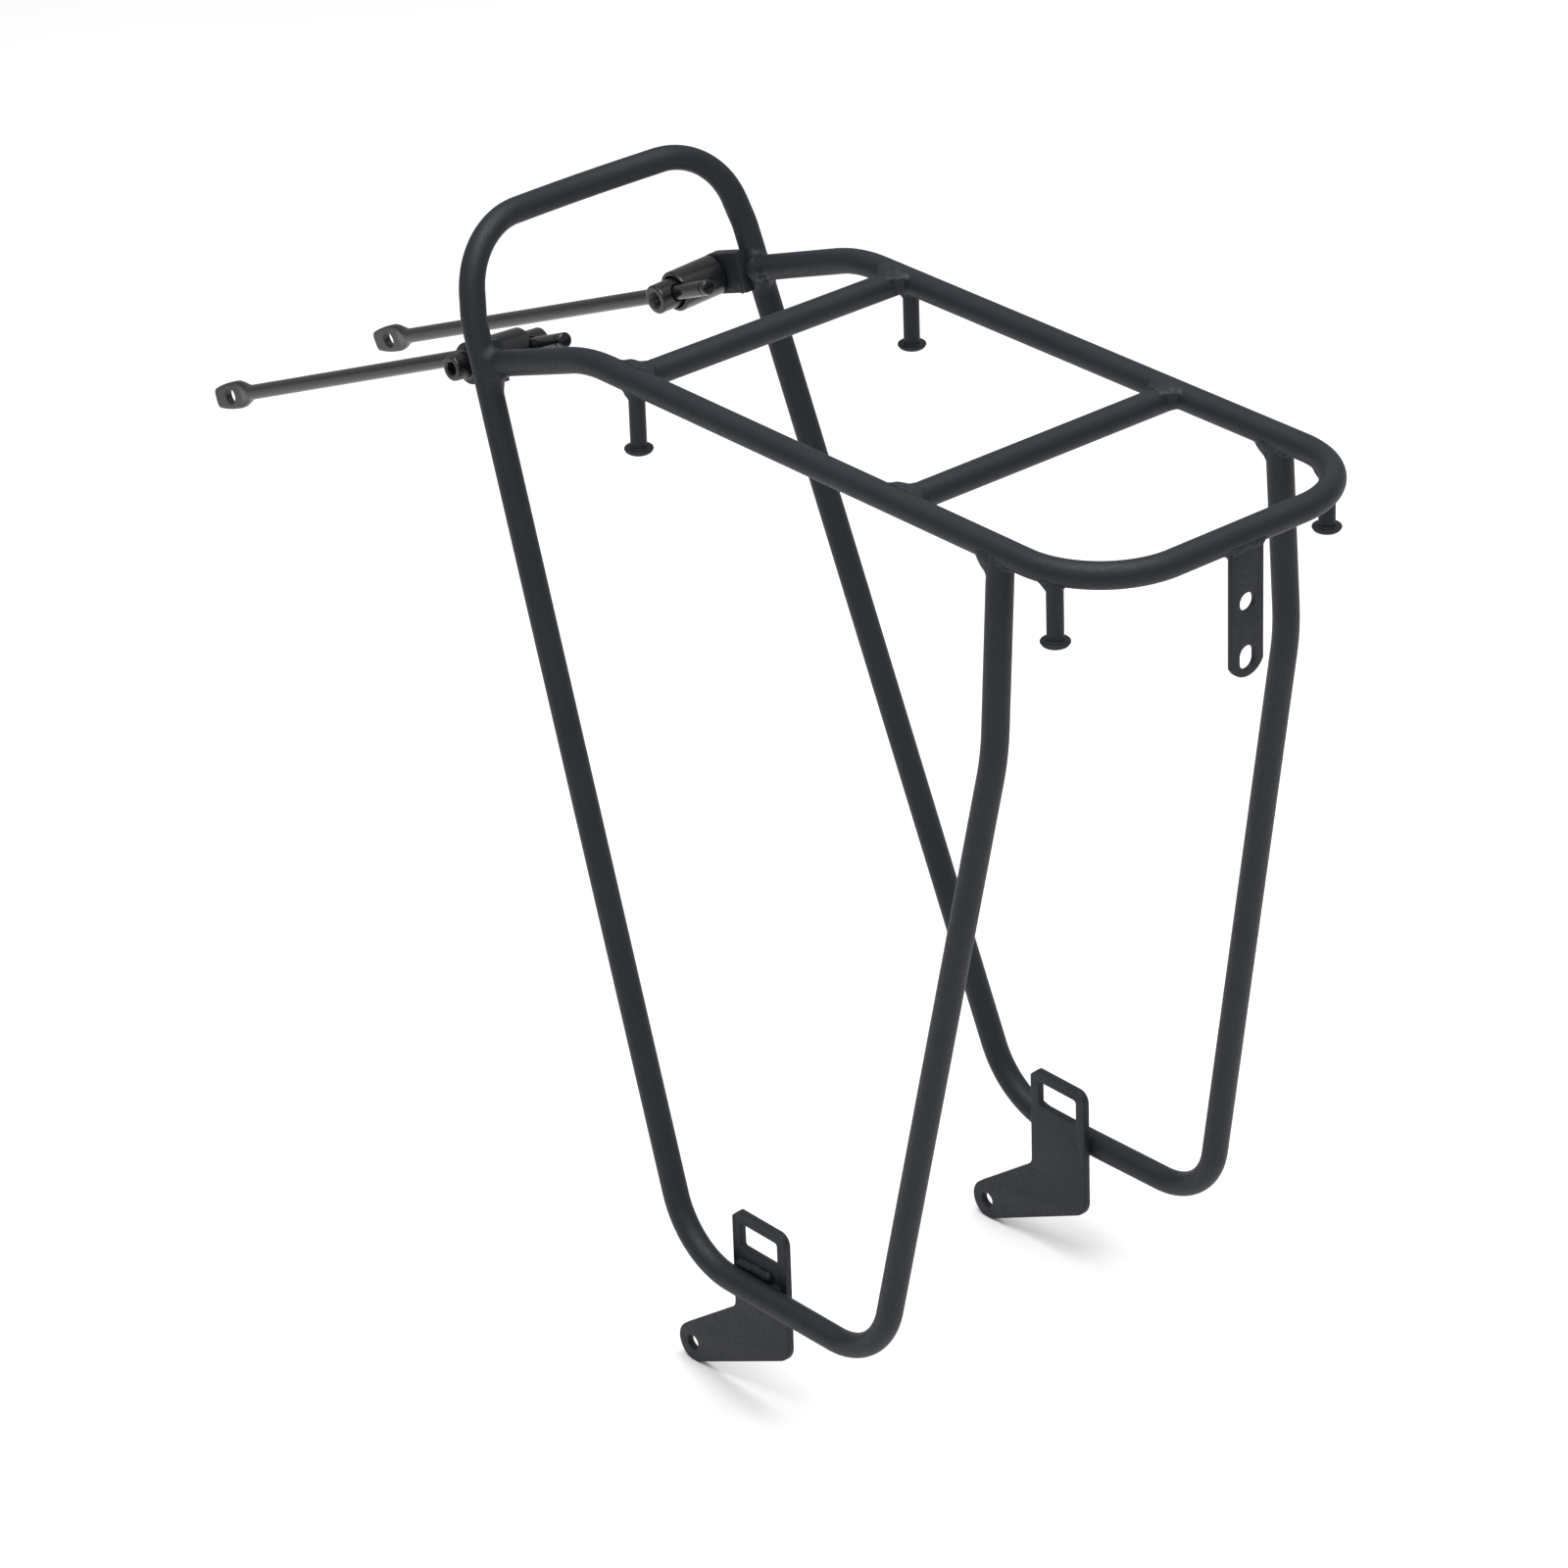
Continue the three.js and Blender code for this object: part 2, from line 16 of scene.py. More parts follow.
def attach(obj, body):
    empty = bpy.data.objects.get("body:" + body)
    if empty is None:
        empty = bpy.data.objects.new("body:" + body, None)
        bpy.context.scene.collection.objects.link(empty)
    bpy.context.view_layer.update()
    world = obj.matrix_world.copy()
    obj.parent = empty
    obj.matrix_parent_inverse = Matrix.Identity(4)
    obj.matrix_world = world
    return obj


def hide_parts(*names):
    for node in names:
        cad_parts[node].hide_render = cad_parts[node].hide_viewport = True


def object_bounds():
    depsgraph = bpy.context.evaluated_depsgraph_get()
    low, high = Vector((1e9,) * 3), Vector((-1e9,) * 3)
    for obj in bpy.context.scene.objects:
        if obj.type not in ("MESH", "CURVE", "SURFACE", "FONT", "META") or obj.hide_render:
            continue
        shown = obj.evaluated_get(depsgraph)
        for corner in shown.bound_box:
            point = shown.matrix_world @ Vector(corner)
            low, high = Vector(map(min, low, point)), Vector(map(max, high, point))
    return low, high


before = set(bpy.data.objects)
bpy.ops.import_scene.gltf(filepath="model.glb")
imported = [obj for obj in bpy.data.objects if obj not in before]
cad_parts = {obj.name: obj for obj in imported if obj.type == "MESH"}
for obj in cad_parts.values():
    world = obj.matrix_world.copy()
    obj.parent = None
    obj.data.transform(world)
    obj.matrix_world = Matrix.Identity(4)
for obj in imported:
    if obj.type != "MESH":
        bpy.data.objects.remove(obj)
cad_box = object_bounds()

MM = 0.001
SIDES = ((1, "left"), (-1, "right"))
FINISH = "_finish"

# ---- Driving dimensions, millimetres and degrees ----

# Frame rods. A bend of radius TIGHT_BEND or less is pressed oval in full, a wider one less.
ROD_RADIUS = 5
ROD_SIDES = 48
BEND_STEP = 3
BEND_FLATTENING = 0.05
TIGHT_BEND = 60

DECK_Z = 394.4
RAIL_Y = 66.5
REAR_BAR_X = -220.6

# Corners of the two bent rods, left half: (place, bend radius).
LEG_AND_HOOP = [
    ((-172.6, 66.5, DECK_Z), 0),
    ((-172.5, 70.9, 317.0), 96),
    ((-117.7, 84.2, 47.3), 31.7),
    ((-6.9, 83.3, 45.2), 34.8),
    ((118.7, 66.2, 389.0), 22),
    ((128.7, 58.9, 421.3), 30),
]
HOOP_TOP = ((134.4, 0, 419.3), 250)
DECK = [
    ((109.5, 63.6, 373.8), 0),
    ((51.8, 65.7, DECK_Z), 66),
    ((REAR_BAR_X, RAIL_Y, DECK_Z), 35.7),
]

# Places of the cross tubes as (x, z), and of the studs under the rails as (x, y).
CROSS_TUBE_REACH = 64
CROSS_TUBES = {"front": (27.5, DECK_Z - 1), "rear": (-118.9, DECK_Z - 1)}
STUDS = {"front": (23.2, 66.5), "rear": (-198.1, 65.1)}

# Stud heights are measured from the middle of the deck rod.
STUD_STEM_RADIUS = 3.1
STUD_HEAD_RADIUS = 5.45
STUD_HEAD_TOP = -25.3
STUD_BOTTOM = -28.1
STUD_THROAT = 0.5
STUD_RIM = 0.6

# Light bracket, set a little into its weld.
BRACKET_THICKNESS = 2
BRACKET_HALF_WIDTH = 7.8
BRACKET_SET_IN = 0.6
BRACKET_TOP_Z = 391.7
BRACKET_BOTTOM_Z = 341.8
BRACKET_END_RISE = 5
BRACKET_HOLE_RADIUS = 3.5
BRACKET_HOLE_Z = 370.5
BRACKET_SLOT_Z = 349.1
BRACKET_SLOT_EXTRA = 2.2
BRACKET_EDGE = 0.35

# Foot plates. The toe's bolt hole is at the origin of the plate's outline.
PLATE_INNER_Y = 75.2
PLATE_THICKNESS = 3
PLATE_TOP_Z = 72.6
PLATE_FRONT_X = -26.8
PLATE_REAR_X = -57.6
PLATE_CHAMFER = (3.6, 3.2)
PLATE_EDGE = 0.4
PLATE_HEEL_ROUND = 8
PLATE_NOTCH_ROUND = 5
PLATE_CREST_ROUND = 4.8
TOE_RADIUS = 8.1
TOE_TOP_SLOPE = -35.2
TOE_BOTTOM_SLOPE = -25.1
BOLT_HOLE_RADIUS = 3
STRAP_SLOT_X = (-52.7, -31.6)
STRAP_SLOT_Z = (57.4, 67.8)
STRAP_SLOT_ROUND = 1.2

# The clamp frame has its origin where the stay crosses the clamp axis, +Y outwards
# along that axis, and +X forwards along the stay.
CLAMP_CENTRE = (127.9, 35.7, 366.2)
CLAMP_TILT = 3.2
STAY_PITCH = 22.9
LUG_PITCH = 18.9

STAY_RADIUS = 3
STAY_REAR_X = -26.4
STAY_END_ROUND = 0.8
STAY_GROOVE_START = 1.4
STAY_GROOVE_LENGTH = 3.2
STAY_GROOVE_DEPTH = 0.32
POLISH_START_X = -1
EYELET_X = 204.5
EYELET_TAPER = (-15, -5)
EYELET_HALF_WIDTH = 5.6
EYELET_HALF_THICKNESS = 1.7
EYELET_TIP = 10.4
EYELET_CORNER = 1.5
EYELET_BOW = 0.24
EYELET_SQUARENESS = 0.38
EYELET_HOLE_RADIUS = 3

NUT_RADIUS = 5.75
NUT_INNER_Y = -7.9
NUT_OUTER_Y = 14
NUT_THREAD_RADIUS = 2.75
NUT_THREAD_DEPTH = 0.45
NUT_STEP = 0.28
THREAD_PITCH = 1
CROSS_HOLE_RADIUS = 3.3

SPACER_RADIUS = 8
SPACER_INNER_Y = 1.5
SPACER_OUTER_Y = 22
SPACER_CUP_RADIUS = 6.2
SPACER_CUP_FLOOR_Y = 15.6
SPACER_STEP = 0.34
SCREW_CLEARANCE_RADIUS = 3.3

LUG_INNER_Y = 22.2
LUG_THICKNESS = 5.3
LUG_RADIUS = 8.1
LUG_LENGTH = 14.4
LUG_ROOT = 2.6
LUG_EDGE = 0.5

WASHER_INNER_Y = 27.7
WASHER_RADIUS = 6
WASHER_THICKNESS = 1.7
SCREW_HEAD_Y = 29.5
SCREW_HEAD_RADIUS = 5
SCREW_HEAD_HEIGHT = 6.2
SCREW_HEAD_ROUND = 0.8
SCREW_SHANK_RADIUS = 3
SCREW_THREAD_DEPTH = 0.5
SCREW_THREAD_START_Y = 15.2
SCREW_TIP_Y = 4.6
SOCKET_ACROSS_FLATS = 5
SOCKET_DEPTH = 3.5
KNURL_TEETH = 36
KNURL_DEPTH = 0.16

# Weld beads: the leg of each corner bead, on its thin side and its thick side.
NECK_BEAD = (4.5, 8)
REAR_LEG_BEAD = (1.2, 4.6)
CROSS_TUBE_BEAD = (2.2, 5)
STUD_BEAD = (0.9, 2.6)
FOOT_PLATE_BEAD = 1.2
STRAP_BEAD = 1
LUG_SHARE = 0.12

# Low islands of weld: centre from the joint, radii, height.
NECK_ISLAND = ((-1.5, -4, -2), (7.5, 4.5, 8.5), 0.5)
CROSS_TUBE_ISLAND = ((1.5, -0.5, 4), (6.2, 4.4, 3.8), 0.45)
ISLAND_SHORE = 1.5

# Strings of weld along the foot plate and along the light bracket's top edge.
PLATE_STRING_RADIUS = 2.1
PLATE_STRING_RISE = 5.4
PLATE_STRING_REACH = 7.5
PLATE_STRING_OFFSET = 1.8
STRAP_STRING_RADIUS = 1.5
STRAP_STRING_REACH = 4.6
STRING_LUMP = 0.5

# How the beads are meshed: grid step, height where a bead ends, depth of its hidden skin,
# height where its lumps are full, and the noise in waves per millimetre.
WELD_STEP = 0.55
WELD_FEATHER = 0.03
WELD_SKIN = 0.9
WELD_RISE = 0.8
RAGGEDNESS = 0.4
GRAIN_LARGE = 0.28
GRAIN_SMALL = 0.8

# ---- Camera: behind the rack, to its left and above it ----

CAMERA_PLACE = (-1685.86, 1426.63, 1371.59)
CAMERA_HEADING = 140.21378
CAMERA_ELEVATION = 27.62832
CAMERA_ROLL = -1.98495
CAMERA_LENS = 151.48
CAMERA_SENSOR = 36

# ---- Meshes ----


def make_piece(name, verts, faces, look, body, sharp=40, nodes=(), normals=None):
    """One mesh object from millimetre points, riding on a body and standing for its CAD nodes.

    Edges sharper than the given angle stay sharp, unless the points come with normals.
    """
    mesh = bpy.data.meshes.new(name)
    mesh.from_pydata((np.asarray(verts, dtype=float) * MM).tolist(), [], [tuple(f) for f in faces])
    mesh.validate()
    mesh.shade_smooth()
    if normals is None:
        mesh.set_sharp_from_angle(angle=math.radians(sharp))
    else:
        mesh.normals_split_custom_set_from_vertices(np.asarray(normals, dtype=float).tolist())
    mesh.materials.append(look)
    piece = bpy.data.objects.new(name, mesh)
    bpy.context.scene.collection.objects.link(piece)
    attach(piece, body)
    if nodes:
        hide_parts(*nodes)
    return piece


def to_side(verts, faces, side):
    """The left-hand shape as it is, or its mirror image for the right."""
    if side > 0:
        return verts, faces
    return np.asarray(verts) * (1, -1, 1), [tuple(f)[::-1] for f in faces]


def stacked(rings, caps=True):
    """Joins rings of points, all the same length, into one closed body."""
    sides = len(rings[0])
    verts = np.concatenate(rings)
    faces = []
    for r in range(len(rings) - 1 if caps else len(rings)):
        this = r * sides
        above = ((r + 1) % len(rings)) * sides
        for i in range(sides):
            j = (i + 1) % sides
            faces.append((this + i, this + j, above + j, above + i))
    if caps:
        faces.append(tuple(range(sides))[::-1])
        faces.append(tuple(range((len(rings) - 1) * sides, len(rings) * sides)))
    return verts, faces


def turned_ring(y, radius, sides, teeth=0, tooth_depth=0, hexagon=False):
    """One ring about the Y axis: round, toothed or six-sided."""
    angle = 2 * np.pi * np.arange(sides) / sides
    if hexagon:
        radius = radius / np.cos((angle + np.pi / 6) % (np.pi / 3) - np.pi / 6)
    if teeth:
        radius = radius - tooth_depth * (0.5 - 0.5 * np.cos(teeth * angle))
    return np.stack([radius * np.sin(angle), np.full(sides, y), radius * np.cos(angle)], axis=1)


def rounded_corners(corners, step=12):
    """A closed outline whose corners ((x, y), radius) are rounded with arcs."""
    places = [np.array(place, dtype=float) for place, _ in corners]
    outline = []
    for i, (_, radius) in enumerate(corners):
        here = places[i]
        before = here - places[i - 1]
        before /= np.linalg.norm(before)
        after = places[(i + 1) % len(places)] - here
        after /= np.linalg.norm(after)
        turn = math.atan2(before[0] * after[1] - before[1] * after[0], before @ after)
        if radius == 0:
            outline.append(here)
            continue
        start = here - before * radius * math.tan(abs(turn) / 2)
        inwards = np.array([-before[1], before[0]]) * math.copysign(1, turn)
        steps = max(2, math.ceil(math.degrees(abs(turn)) / step))
        for k in range(steps + 1):
            angle = abs(turn) * k / steps
            outline.append(start + radius * (math.sin(angle) * before + (1 - math.cos(angle)) * inwards))
    return np.array(outline)


def circle(centre, radius, sides=48):
    angle = 2 * np.pi * np.arange(sides) / sides
    return np.stack([centre[0] + radius * np.cos(angle), centre[1] + radius * np.sin(angle)], axis=1)


def inset(loop, distance):
    """Moves a closed loop to its left by a distance, with mitred corners."""
    before = loop - np.roll(loop, 1, axis=0)
    after = np.roll(loop, -1, axis=0) - loop
    n1 = np.stack([-before[:, 1], before[:, 0]], axis=1)
    n2 = np.stack([-after[:, 1], after[:, 0]], axis=1)
    n1 /= np.linalg.norm(n1, axis=1, keepdims=True)
    n2 /= np.linalg.norm(n2, axis=1, keepdims=True)
    mitre = (n1 + n2) / (1 + (n1 * n2).sum(axis=1, keepdims=True))
    return loop + distance * mitre


def plate(outline, holes, thickness, edge=0.5, edge_steps=4):
    """A flat plate with rounded edges: points are (u, height, v), the outline runs counterclockwise."""
    loops = [outline] + [hole[::-1] for hole in holes]
    levels = []
    for k in range(edge_steps + 1):
        angle = math.pi / 2 * k / edge_steps
        levels.append((edge * (1 - math.sin(angle)), edge * (1 - math.cos(angle))))
    levels += [(back, thickness - height) for back, height in levels[::-1]]
    verts, faces, caps = [], [], [[], []]
    for loop in loops:
        count = len(loop)
        first = len(verts)
        for back, height in levels:
            verts += [(u, height, v) for u, v in inset(loop, back)]
        for level in range(len(levels) - 1):
            for i in range(count):
                j = (i + 1) % count
                low = first + level * count
                faces.append((low + i, low + count + i, low + count + j, low + j))
        caps[0].append(list(range(first, first + count)))
        caps[1].append(list(range(first + (len(levels) - 1) * count, first + len(levels) * count)))
    for rings, top in zip(caps, (False, True)):
        order = [i for ring in rings for i in ring]
        flat = [[Vector((verts[i][0], verts[i][2], 0)) for i in ring] for ring in rings]
        for triangle in tessellate_polygon(flat):
            face = [order[i] for i in triangle]
            a, b, c = (np.array(verts[i])[[0, 2]] for i in face)
            counterclockwise = (b - a)[0] * (c - a)[1] - (b - a)[1] * (c - a)[0] > 0
            faces.append(face if counterclockwise != top else face[::-1])
    return np.array(verts), faces


# ---- Bent rods ----


def with_mirror(half, middle=()):
    other = [((x, -y, z), bend) for (x, y, z), bend in half]
    return [*half, *middle, *other[::-1]]


def bent_path(corners):
    """Stations along straight runs and circular bends: place, heading, bend's inward side, flattening."""
    places = [Vector(place) for place, _ in corners]
    headings = [(b - a).normalized() for a, b in zip(places, places[1:])]
    stations = [(places[0], headings[0], Vector((0, 0, 0)), 0)]
    for i in range(1, len(places) - 1):
        radius = corners[i][1]
        angle = headings[i - 1].angle(headings[i])
        axis = headings[i - 1].cross(headings[i]).normalized()
        start = places[i] - headings[i - 1] * radius * math.tan(angle / 2)
        centre = start + axis.cross(headings[i - 1]) * radius
        steps = max(4, math.ceil(math.degrees(angle) / BEND_STEP))
        tightness = min(1, TIGHT_BEND / radius) ** 2 * min(1, 2 * angle)
        for k in range(steps + 1):
            turn = Matrix.Rotation(angle * k / steps, 3, axis)
            ramp = max(0, math.sin(math.pi * k / steps)) ** 0.6
            place = centre + turn @ (start - centre)
            stations.append((place, turn @ headings[i - 1], (centre - place).normalized(), tightness * ramp))
    stations.append((places[-1], headings[-1], Vector((0, 0, 0)), 0))
    return stations


def rod(corners, radius=ROD_RADIUS):
    """A round rod along a bent path, pressed slightly oval where it bends."""
    stations = bent_path(corners)
    across = stations[0][1].orthogonal().normalized()
    rings = []
    for i, (place, heading, inwards, flattening) in enumerate(stations):
        if i:
            across = stations[i - 1][1].rotation_difference(heading) @ across
        other = heading.cross(across)
        ring = []
        for k in range(ROD_SIDES):
            angle = 2 * math.pi * k / ROD_SIDES
            spoke = across * math.cos(angle) + other * math.sin(angle)
            pressed = BEND_FLATTENING * flattening * spoke.dot(inwards) ** 2
            ring.append(place + spoke * radius * (1 - pressed))
        rings.append(np.array(ring))
    return stacked(rings)


# ---- Distance fields, for the welds and the clamp's cast pieces ----


def lengths(vectors):
    return np.sqrt((vectors * vectors).sum(axis=1))


def rod_field(corners, centre, reach, radius=ROD_RADIUS):
    """Distance to the stretch of a bent rod that lies near a joint, and the way straight out of it."""
    path = np.array([station[0] for station in bent_path(corners)])
    centre = np.array(centre)
    runs = []
    for start, end in zip(path, path[1:]):
        run = end - start
        nearest = start + run * np.clip((centre - start) @ run / (run @ run), 0, 1)
        if np.linalg.norm(nearest - centre) < 2 * reach:
            runs.append((start, run))

    def field(points):
        distance = np.full(len(points), np.inf)
        spoke = np.zeros_like(points)
        for start, run in runs:
            along = np.clip((points - start) @ run / (run @ run), 0, 1)
            away = points - start - np.outer(along, run)
            length = lengths(away)
            closer = length < distance
            distance[closer] = length[closer]
            spoke[closer] = away[closer]
        return distance - radius, spoke / np.maximum(distance, 1e-6)[:, None]

    return field


def pulled_back(corners, distance):
    """The same path with its first end drawn in, so that its rounded end stays inside the joint."""
    first, second = Vector(corners[0][0]), Vector(corners[1][0])
    drawn_in = first + (second - first).normalized() * distance
    return [(tuple(drawn_in), 0), *corners[1:]]


def block_field(centre, axes, half):
    """Distance to a box, and the way straight out of it."""

    def field(points):
        place = (points - np.array(centre)) @ axes
        beyond = np.abs(place) - np.array(half)
        outside = np.maximum(beyond, 0)
        inside = beyond == beyond.max(axis=1, keepdims=True)
        face = np.where((beyond > 0).any(axis=1, keepdims=True), outside, inside) * np.sign(place)
        face = face / np.maximum(lengths(face), 1e-6)[:, None]
        return lengths(outside) + np.minimum(beyond.max(axis=1), 0), face @ axes.T

    return field


def soft_min(a, b, softness):
    """The smaller of two fields, with the corner between them filled in."""
    overlap = np.maximum(softness - np.abs(a - b), 0)
    return np.minimum(a, b) - overlap * overlap / (4 * softness)


def soft_max(softness, *values):
    """The largest of several fields, with the corner between them rounded off."""
    result = values[0]
    for value in values[1:]:
        result = -soft_min(-result, -value, softness)
    return result


def slope(field, points, step=0.02):
    """The gradient of a field at each point."""
    parts = []
    for axis in np.eye(3) * step:
        parts.append((field(points + axis) - field(points - axis)) / (2 * step))
    return np.stack(parts, axis=1)


def onto_surface(field, points, rounds=4):
    """Moves points along the gradient until they lie on the field's zero surface."""
    for _ in range(rounds):
        gradient = slope(field, points)
        steepness = np.maximum((gradient * gradient).sum(axis=1), 0.05)
        move = -(field(points) / steepness)[:, None] * gradient
        length = np.maximum(lengths(move), 1e-9)[:, None]
        points = points + move * np.minimum(1, 0.6 / length)
    return points


def surface_net(field, low, high, step):
    """Even quads over a field's zero surface, facing out."""
    low, high = np.array(low, dtype=float), np.array(high, dtype=float)
    counts = np.ceil((high - low) / step).astype(int) + 1
    lines = [low[i] + step * np.arange(counts[i]) for i in range(3)]
    grid = np.stack(np.meshgrid(*lines, indexing="ij"), axis=-1)
    inside = field(grid.reshape(-1, 3)).reshape(counts) < 0
    corner_sum = np.zeros(counts - 1, dtype=int)
    for dx in (0, 1):
        for dy in (0, 1):
            for dz in (0, 1):
                shifted = inside[dx:, dy:, dz:]
                corner_sum += shifted[: counts[0] - 1, : counts[1] - 1, : counts[2] - 1]
    mixed = (corner_sum > 0) & (corner_sum < 8)
    number = np.full(counts - 1, -1)
    number[mixed] = np.arange(mixed.sum())
    verts = low + step * (np.argwhere(mixed) + 0.5)
    quads = []
    for axis in range(3):
        u, v = (axis + 1) % 3, (axis + 2) % 3
        near = np.take(inside, np.arange(counts[axis] - 1), axis=axis)
        far = np.take(inside, np.arange(1, counts[axis]), axis=axis)
        at = np.argwhere(near != far)
        held = (at[:, u] > 0) & (at[:, v] > 0) & (at[:, u] < counts[u] - 1) & (at[:, v] < counts[v] - 1)
        at = at[held]
        du, dv = np.eye(3, dtype=int)[u], np.eye(3, dtype=int)[v]
        around = [at - du - dv, at - dv, at, at - du]
        quad = np.stack([number[tuple(cell.T)] for cell in around], axis=1)
        outwards = inside[tuple(at.T)]
        quad[~outwards] = quad[~outwards][:, ::-1]
        quads.append(quad)
    quads = np.concatenate(quads)
    verts = onto_surface(field, verts)
    for _ in range(2):
        total = np.zeros_like(verts)
        share = np.zeros(len(verts))
        middles = verts[quads].mean(axis=1)
        for k in range(4):
            np.add.at(total, quads[:, k], middles)
            np.add.at(share, quads[:, k], 1)
        used = share > 0
        verts[used] = total[used] / share[used][:, None]
        verts = onto_surface(field, verts, rounds=2)
    return verts, quads


# ---- Welds ----


def fillet(a, b, leg, softness, hollow):
    """Two surfaces joined by a bead where they meet at an angle: hollow, or flat with soft edges."""
    crossing = np.clip(1.25 * (1 - (a[1] * b[1]).sum(axis=1)), 0, 1)
    leg = leg * crossing * crossing * (3 - 2 * crossing)
    if hollow:
        return soft_min(a[0], b[0], np.maximum(leg, 0.01))
    soft = softness * np.clip(leg, 0.02, 1)
    return soft_min(np.minimum(a[0], b[0]), (a[0] + b[0] - leg) / math.sqrt(2), soft)


def toward(centre, direction, small, large, start=-1.5, end=3.5):
    """Bead size that grows from small to large on one side of a joint."""
    direction = np.array(direction, dtype=float)
    direction /= np.linalg.norm(direction)

    def size(points):
        way = np.clip(((points - np.array(centre)) @ direction - start) / (end - start), 0, 1)
        return small + (large - small) * way * way * (3 - 2 * way)

    return size


def island(centre, radii, height):
    """A low island of weld with an uneven shore, laid over whatever is bare below it."""
    centre = np.array(centre)

    def field(points, bare):
        way = (points - centre) / np.array(radii)
        shore = (lengths(way) - 1) * min(radii)
        ragged = [noise.noise(Vector(point) * RAGGEDNESS) for point in points]
        return soft_max(0.8, bare - height, shore + ISLAND_SHORE * np.array(ragged))

    return field


def string(start, end, radius):
    """A round string of weld from start to end, thicker in places."""
    start = np.array(start)
    run = np.array(end) - start

    def field(points, bare):
        along = np.clip((points - start) @ run / (run @ run), 0, 1)
        ragged = [noise.noise(Vector(point) * RAGGEDNESS) for point in points]
        return lengths(points - start - np.outer(along, run)) - radius + STRING_LUMP * np.array(ragged)

    return field


def weld(
    name, solids, centre, reach, size, lump=0.2, crown=0.05, softness=0.8,
    sides=SIDES, limit=None, shares=None, pad=None, hollow=False,
):
    """A lumpy bead over the corner where solids meet, ground to nothing at its edges.

    size gives the bead's leg at each point, and shares how much of it each solid takes.
    pad is more weld laid on top, and limit a field that cuts the whole bead off.
    """

    def bare(points):
        return np.min([solid(points)[0] for solid in solids], axis=0)

    def filled(points):
        values = [solid(points) for solid in solids]
        leg = size(points)
        joined = np.full(len(points), np.inf)
        for i, a in enumerate(values):
            for k, b in enumerate(values[i + 1:], i + 1):
                share = 1 if shares is None else shares[i] * shares[k]
                joined = np.minimum(joined, fillet(a, b, share * leg, softness, hollow))
        if pad is not None:
            joined = np.minimum(joined, pad(points, bare(points)))
        return joined if limit is None else np.maximum(joined, limit(points))

    centre = np.array(centre, dtype=float)
    verts, quads = surface_net(filled, centre - reach, centre + reach, WELD_STEP)
    height = bare(verts)
    quads = quads[(height[quads] > WELD_FEATHER).all(axis=1)]
    used = np.unique(quads)
    order = np.full(len(verts), -1)
    order[used] = np.arange(len(used))
    verts, height, quads = verts[used], height[used], order[quads]
    out = slope(filled, verts)
    out /= lengths(out)[:, None]
    rise = np.clip(height / WELD_RISE, 0, 1)
    rise = rise * rise * (3 - 2 * rise)
    for side, word in sides:
        mirror = np.array((1, side, 1))
        bumps = []
        for x, y, z in verts * mirror:
            broad = noise.noise(Vector((x, y, z)) * GRAIN_LARGE)
            fine = noise.noise(Vector((x, y, z)) * GRAIN_SMALL)
            bumps.append(0.75 * broad + 0.25 * fine)
        outer = verts + out * (rise * (crown + lump * 2 * np.array(bumps)))[:, None]
        closed, faces = thickened(outer, verts - out * WELD_SKIN, quads)
        closed, faces = to_side(closed, faces, side)
        full_name = f"weld_{name}_{word}" if word else f"weld_{name}"
        make_piece(full_name, closed, faces, powder_coat, "frame", sharp=50)


def thickened(outer, inner, quads):
    """Closes an open patch with a second layer under it."""
    count = len(outer)
    faces = [tuple(q) for q in quads] + [tuple(q[::-1] + count) for q in quads]
    edges = dict.fromkeys((a, b) for q in quads for a, b in zip(q, np.roll(q, -1)))
    for a, b in edges:
        if (b, a) not in edges:
            faces.append((b, a, a + count, b + count))
    return np.concatenate([outer, inner]), faces


# ---- Materials ----


class Nodes:
    """Short ways to add and join the nodes of one material."""

    def __init__(self, material):
        material.use_nodes = True
        self.tree = material.node_tree
        self.shader = self.tree.nodes["Principled BSDF"]
        self.place = self.add("ShaderNodeTexCoord").outputs["Object"]

    def add(self, kind, **values):
        node = self.tree.nodes.new(kind)
        for name, value in values.items():
            if name in node.inputs:
                node.inputs[name].default_value = value
            else:
                setattr(node, name, value)
        return node

    def link(self, source, target):
        self.tree.links.new(source, target)

    def grain(self, grains_per_metre, detail=2):
        texture = self.add("ShaderNodeTexNoise", Scale=grains_per_metre, Detail=detail)
        self.link(self.place, texture.inputs["Vector"])
        return texture.outputs["Fac"]

    def ramp(self, source, stops):
        ramp = self.add("ShaderNodeValToRGB")
        elements = ramp.color_ramp.elements
        while len(elements) < len(stops):
            elements.new(0.5)
        for element, (position, colour) in zip(elements, stops):
            element.position = position
            element.color = (*colour, 1) if isinstance(colour, tuple) else (colour, colour, colour, 1)
        self.link(source, ramp.inputs["Fac"])
        return ramp.outputs["Color"]

    def bump(self, source, depth, under=None):
        bump = self.add("ShaderNodeBump", Distance=depth, Strength=1.0)
        self.link(source, bump.inputs["Height"])
        if under is not None:
            self.link(under, bump.inputs["Normal"])
        return bump.outputs["Normal"]


def new_look(name):
    material = bpy.data.materials.new(name + FINISH)
    return material, Nodes(material)


def make_powder_coat():
    material, n = new_look("powder_coat")
    blue_black = [(0.3, (0.0076, 0.0098, 0.0134)), (0.7, (0.0102, 0.0127, 0.0167))]
    n.link(n.ramp(n.grain(35, detail=4), blue_black), n.shader.inputs["Base Color"])
    n.link(n.ramp(n.grain(900), [(0.3, 0.47), (0.7, 0.62)]), n.shader.inputs["Roughness"])
    n.shader.inputs["Specular IOR Level"].default_value = 0.25
    peel = n.bump(n.grain(850, detail=3), 0.00007)
    n.link(n.bump(n.grain(2600, detail=2), 0.00003, under=peel), n.shader.inputs["Normal"])
    return material


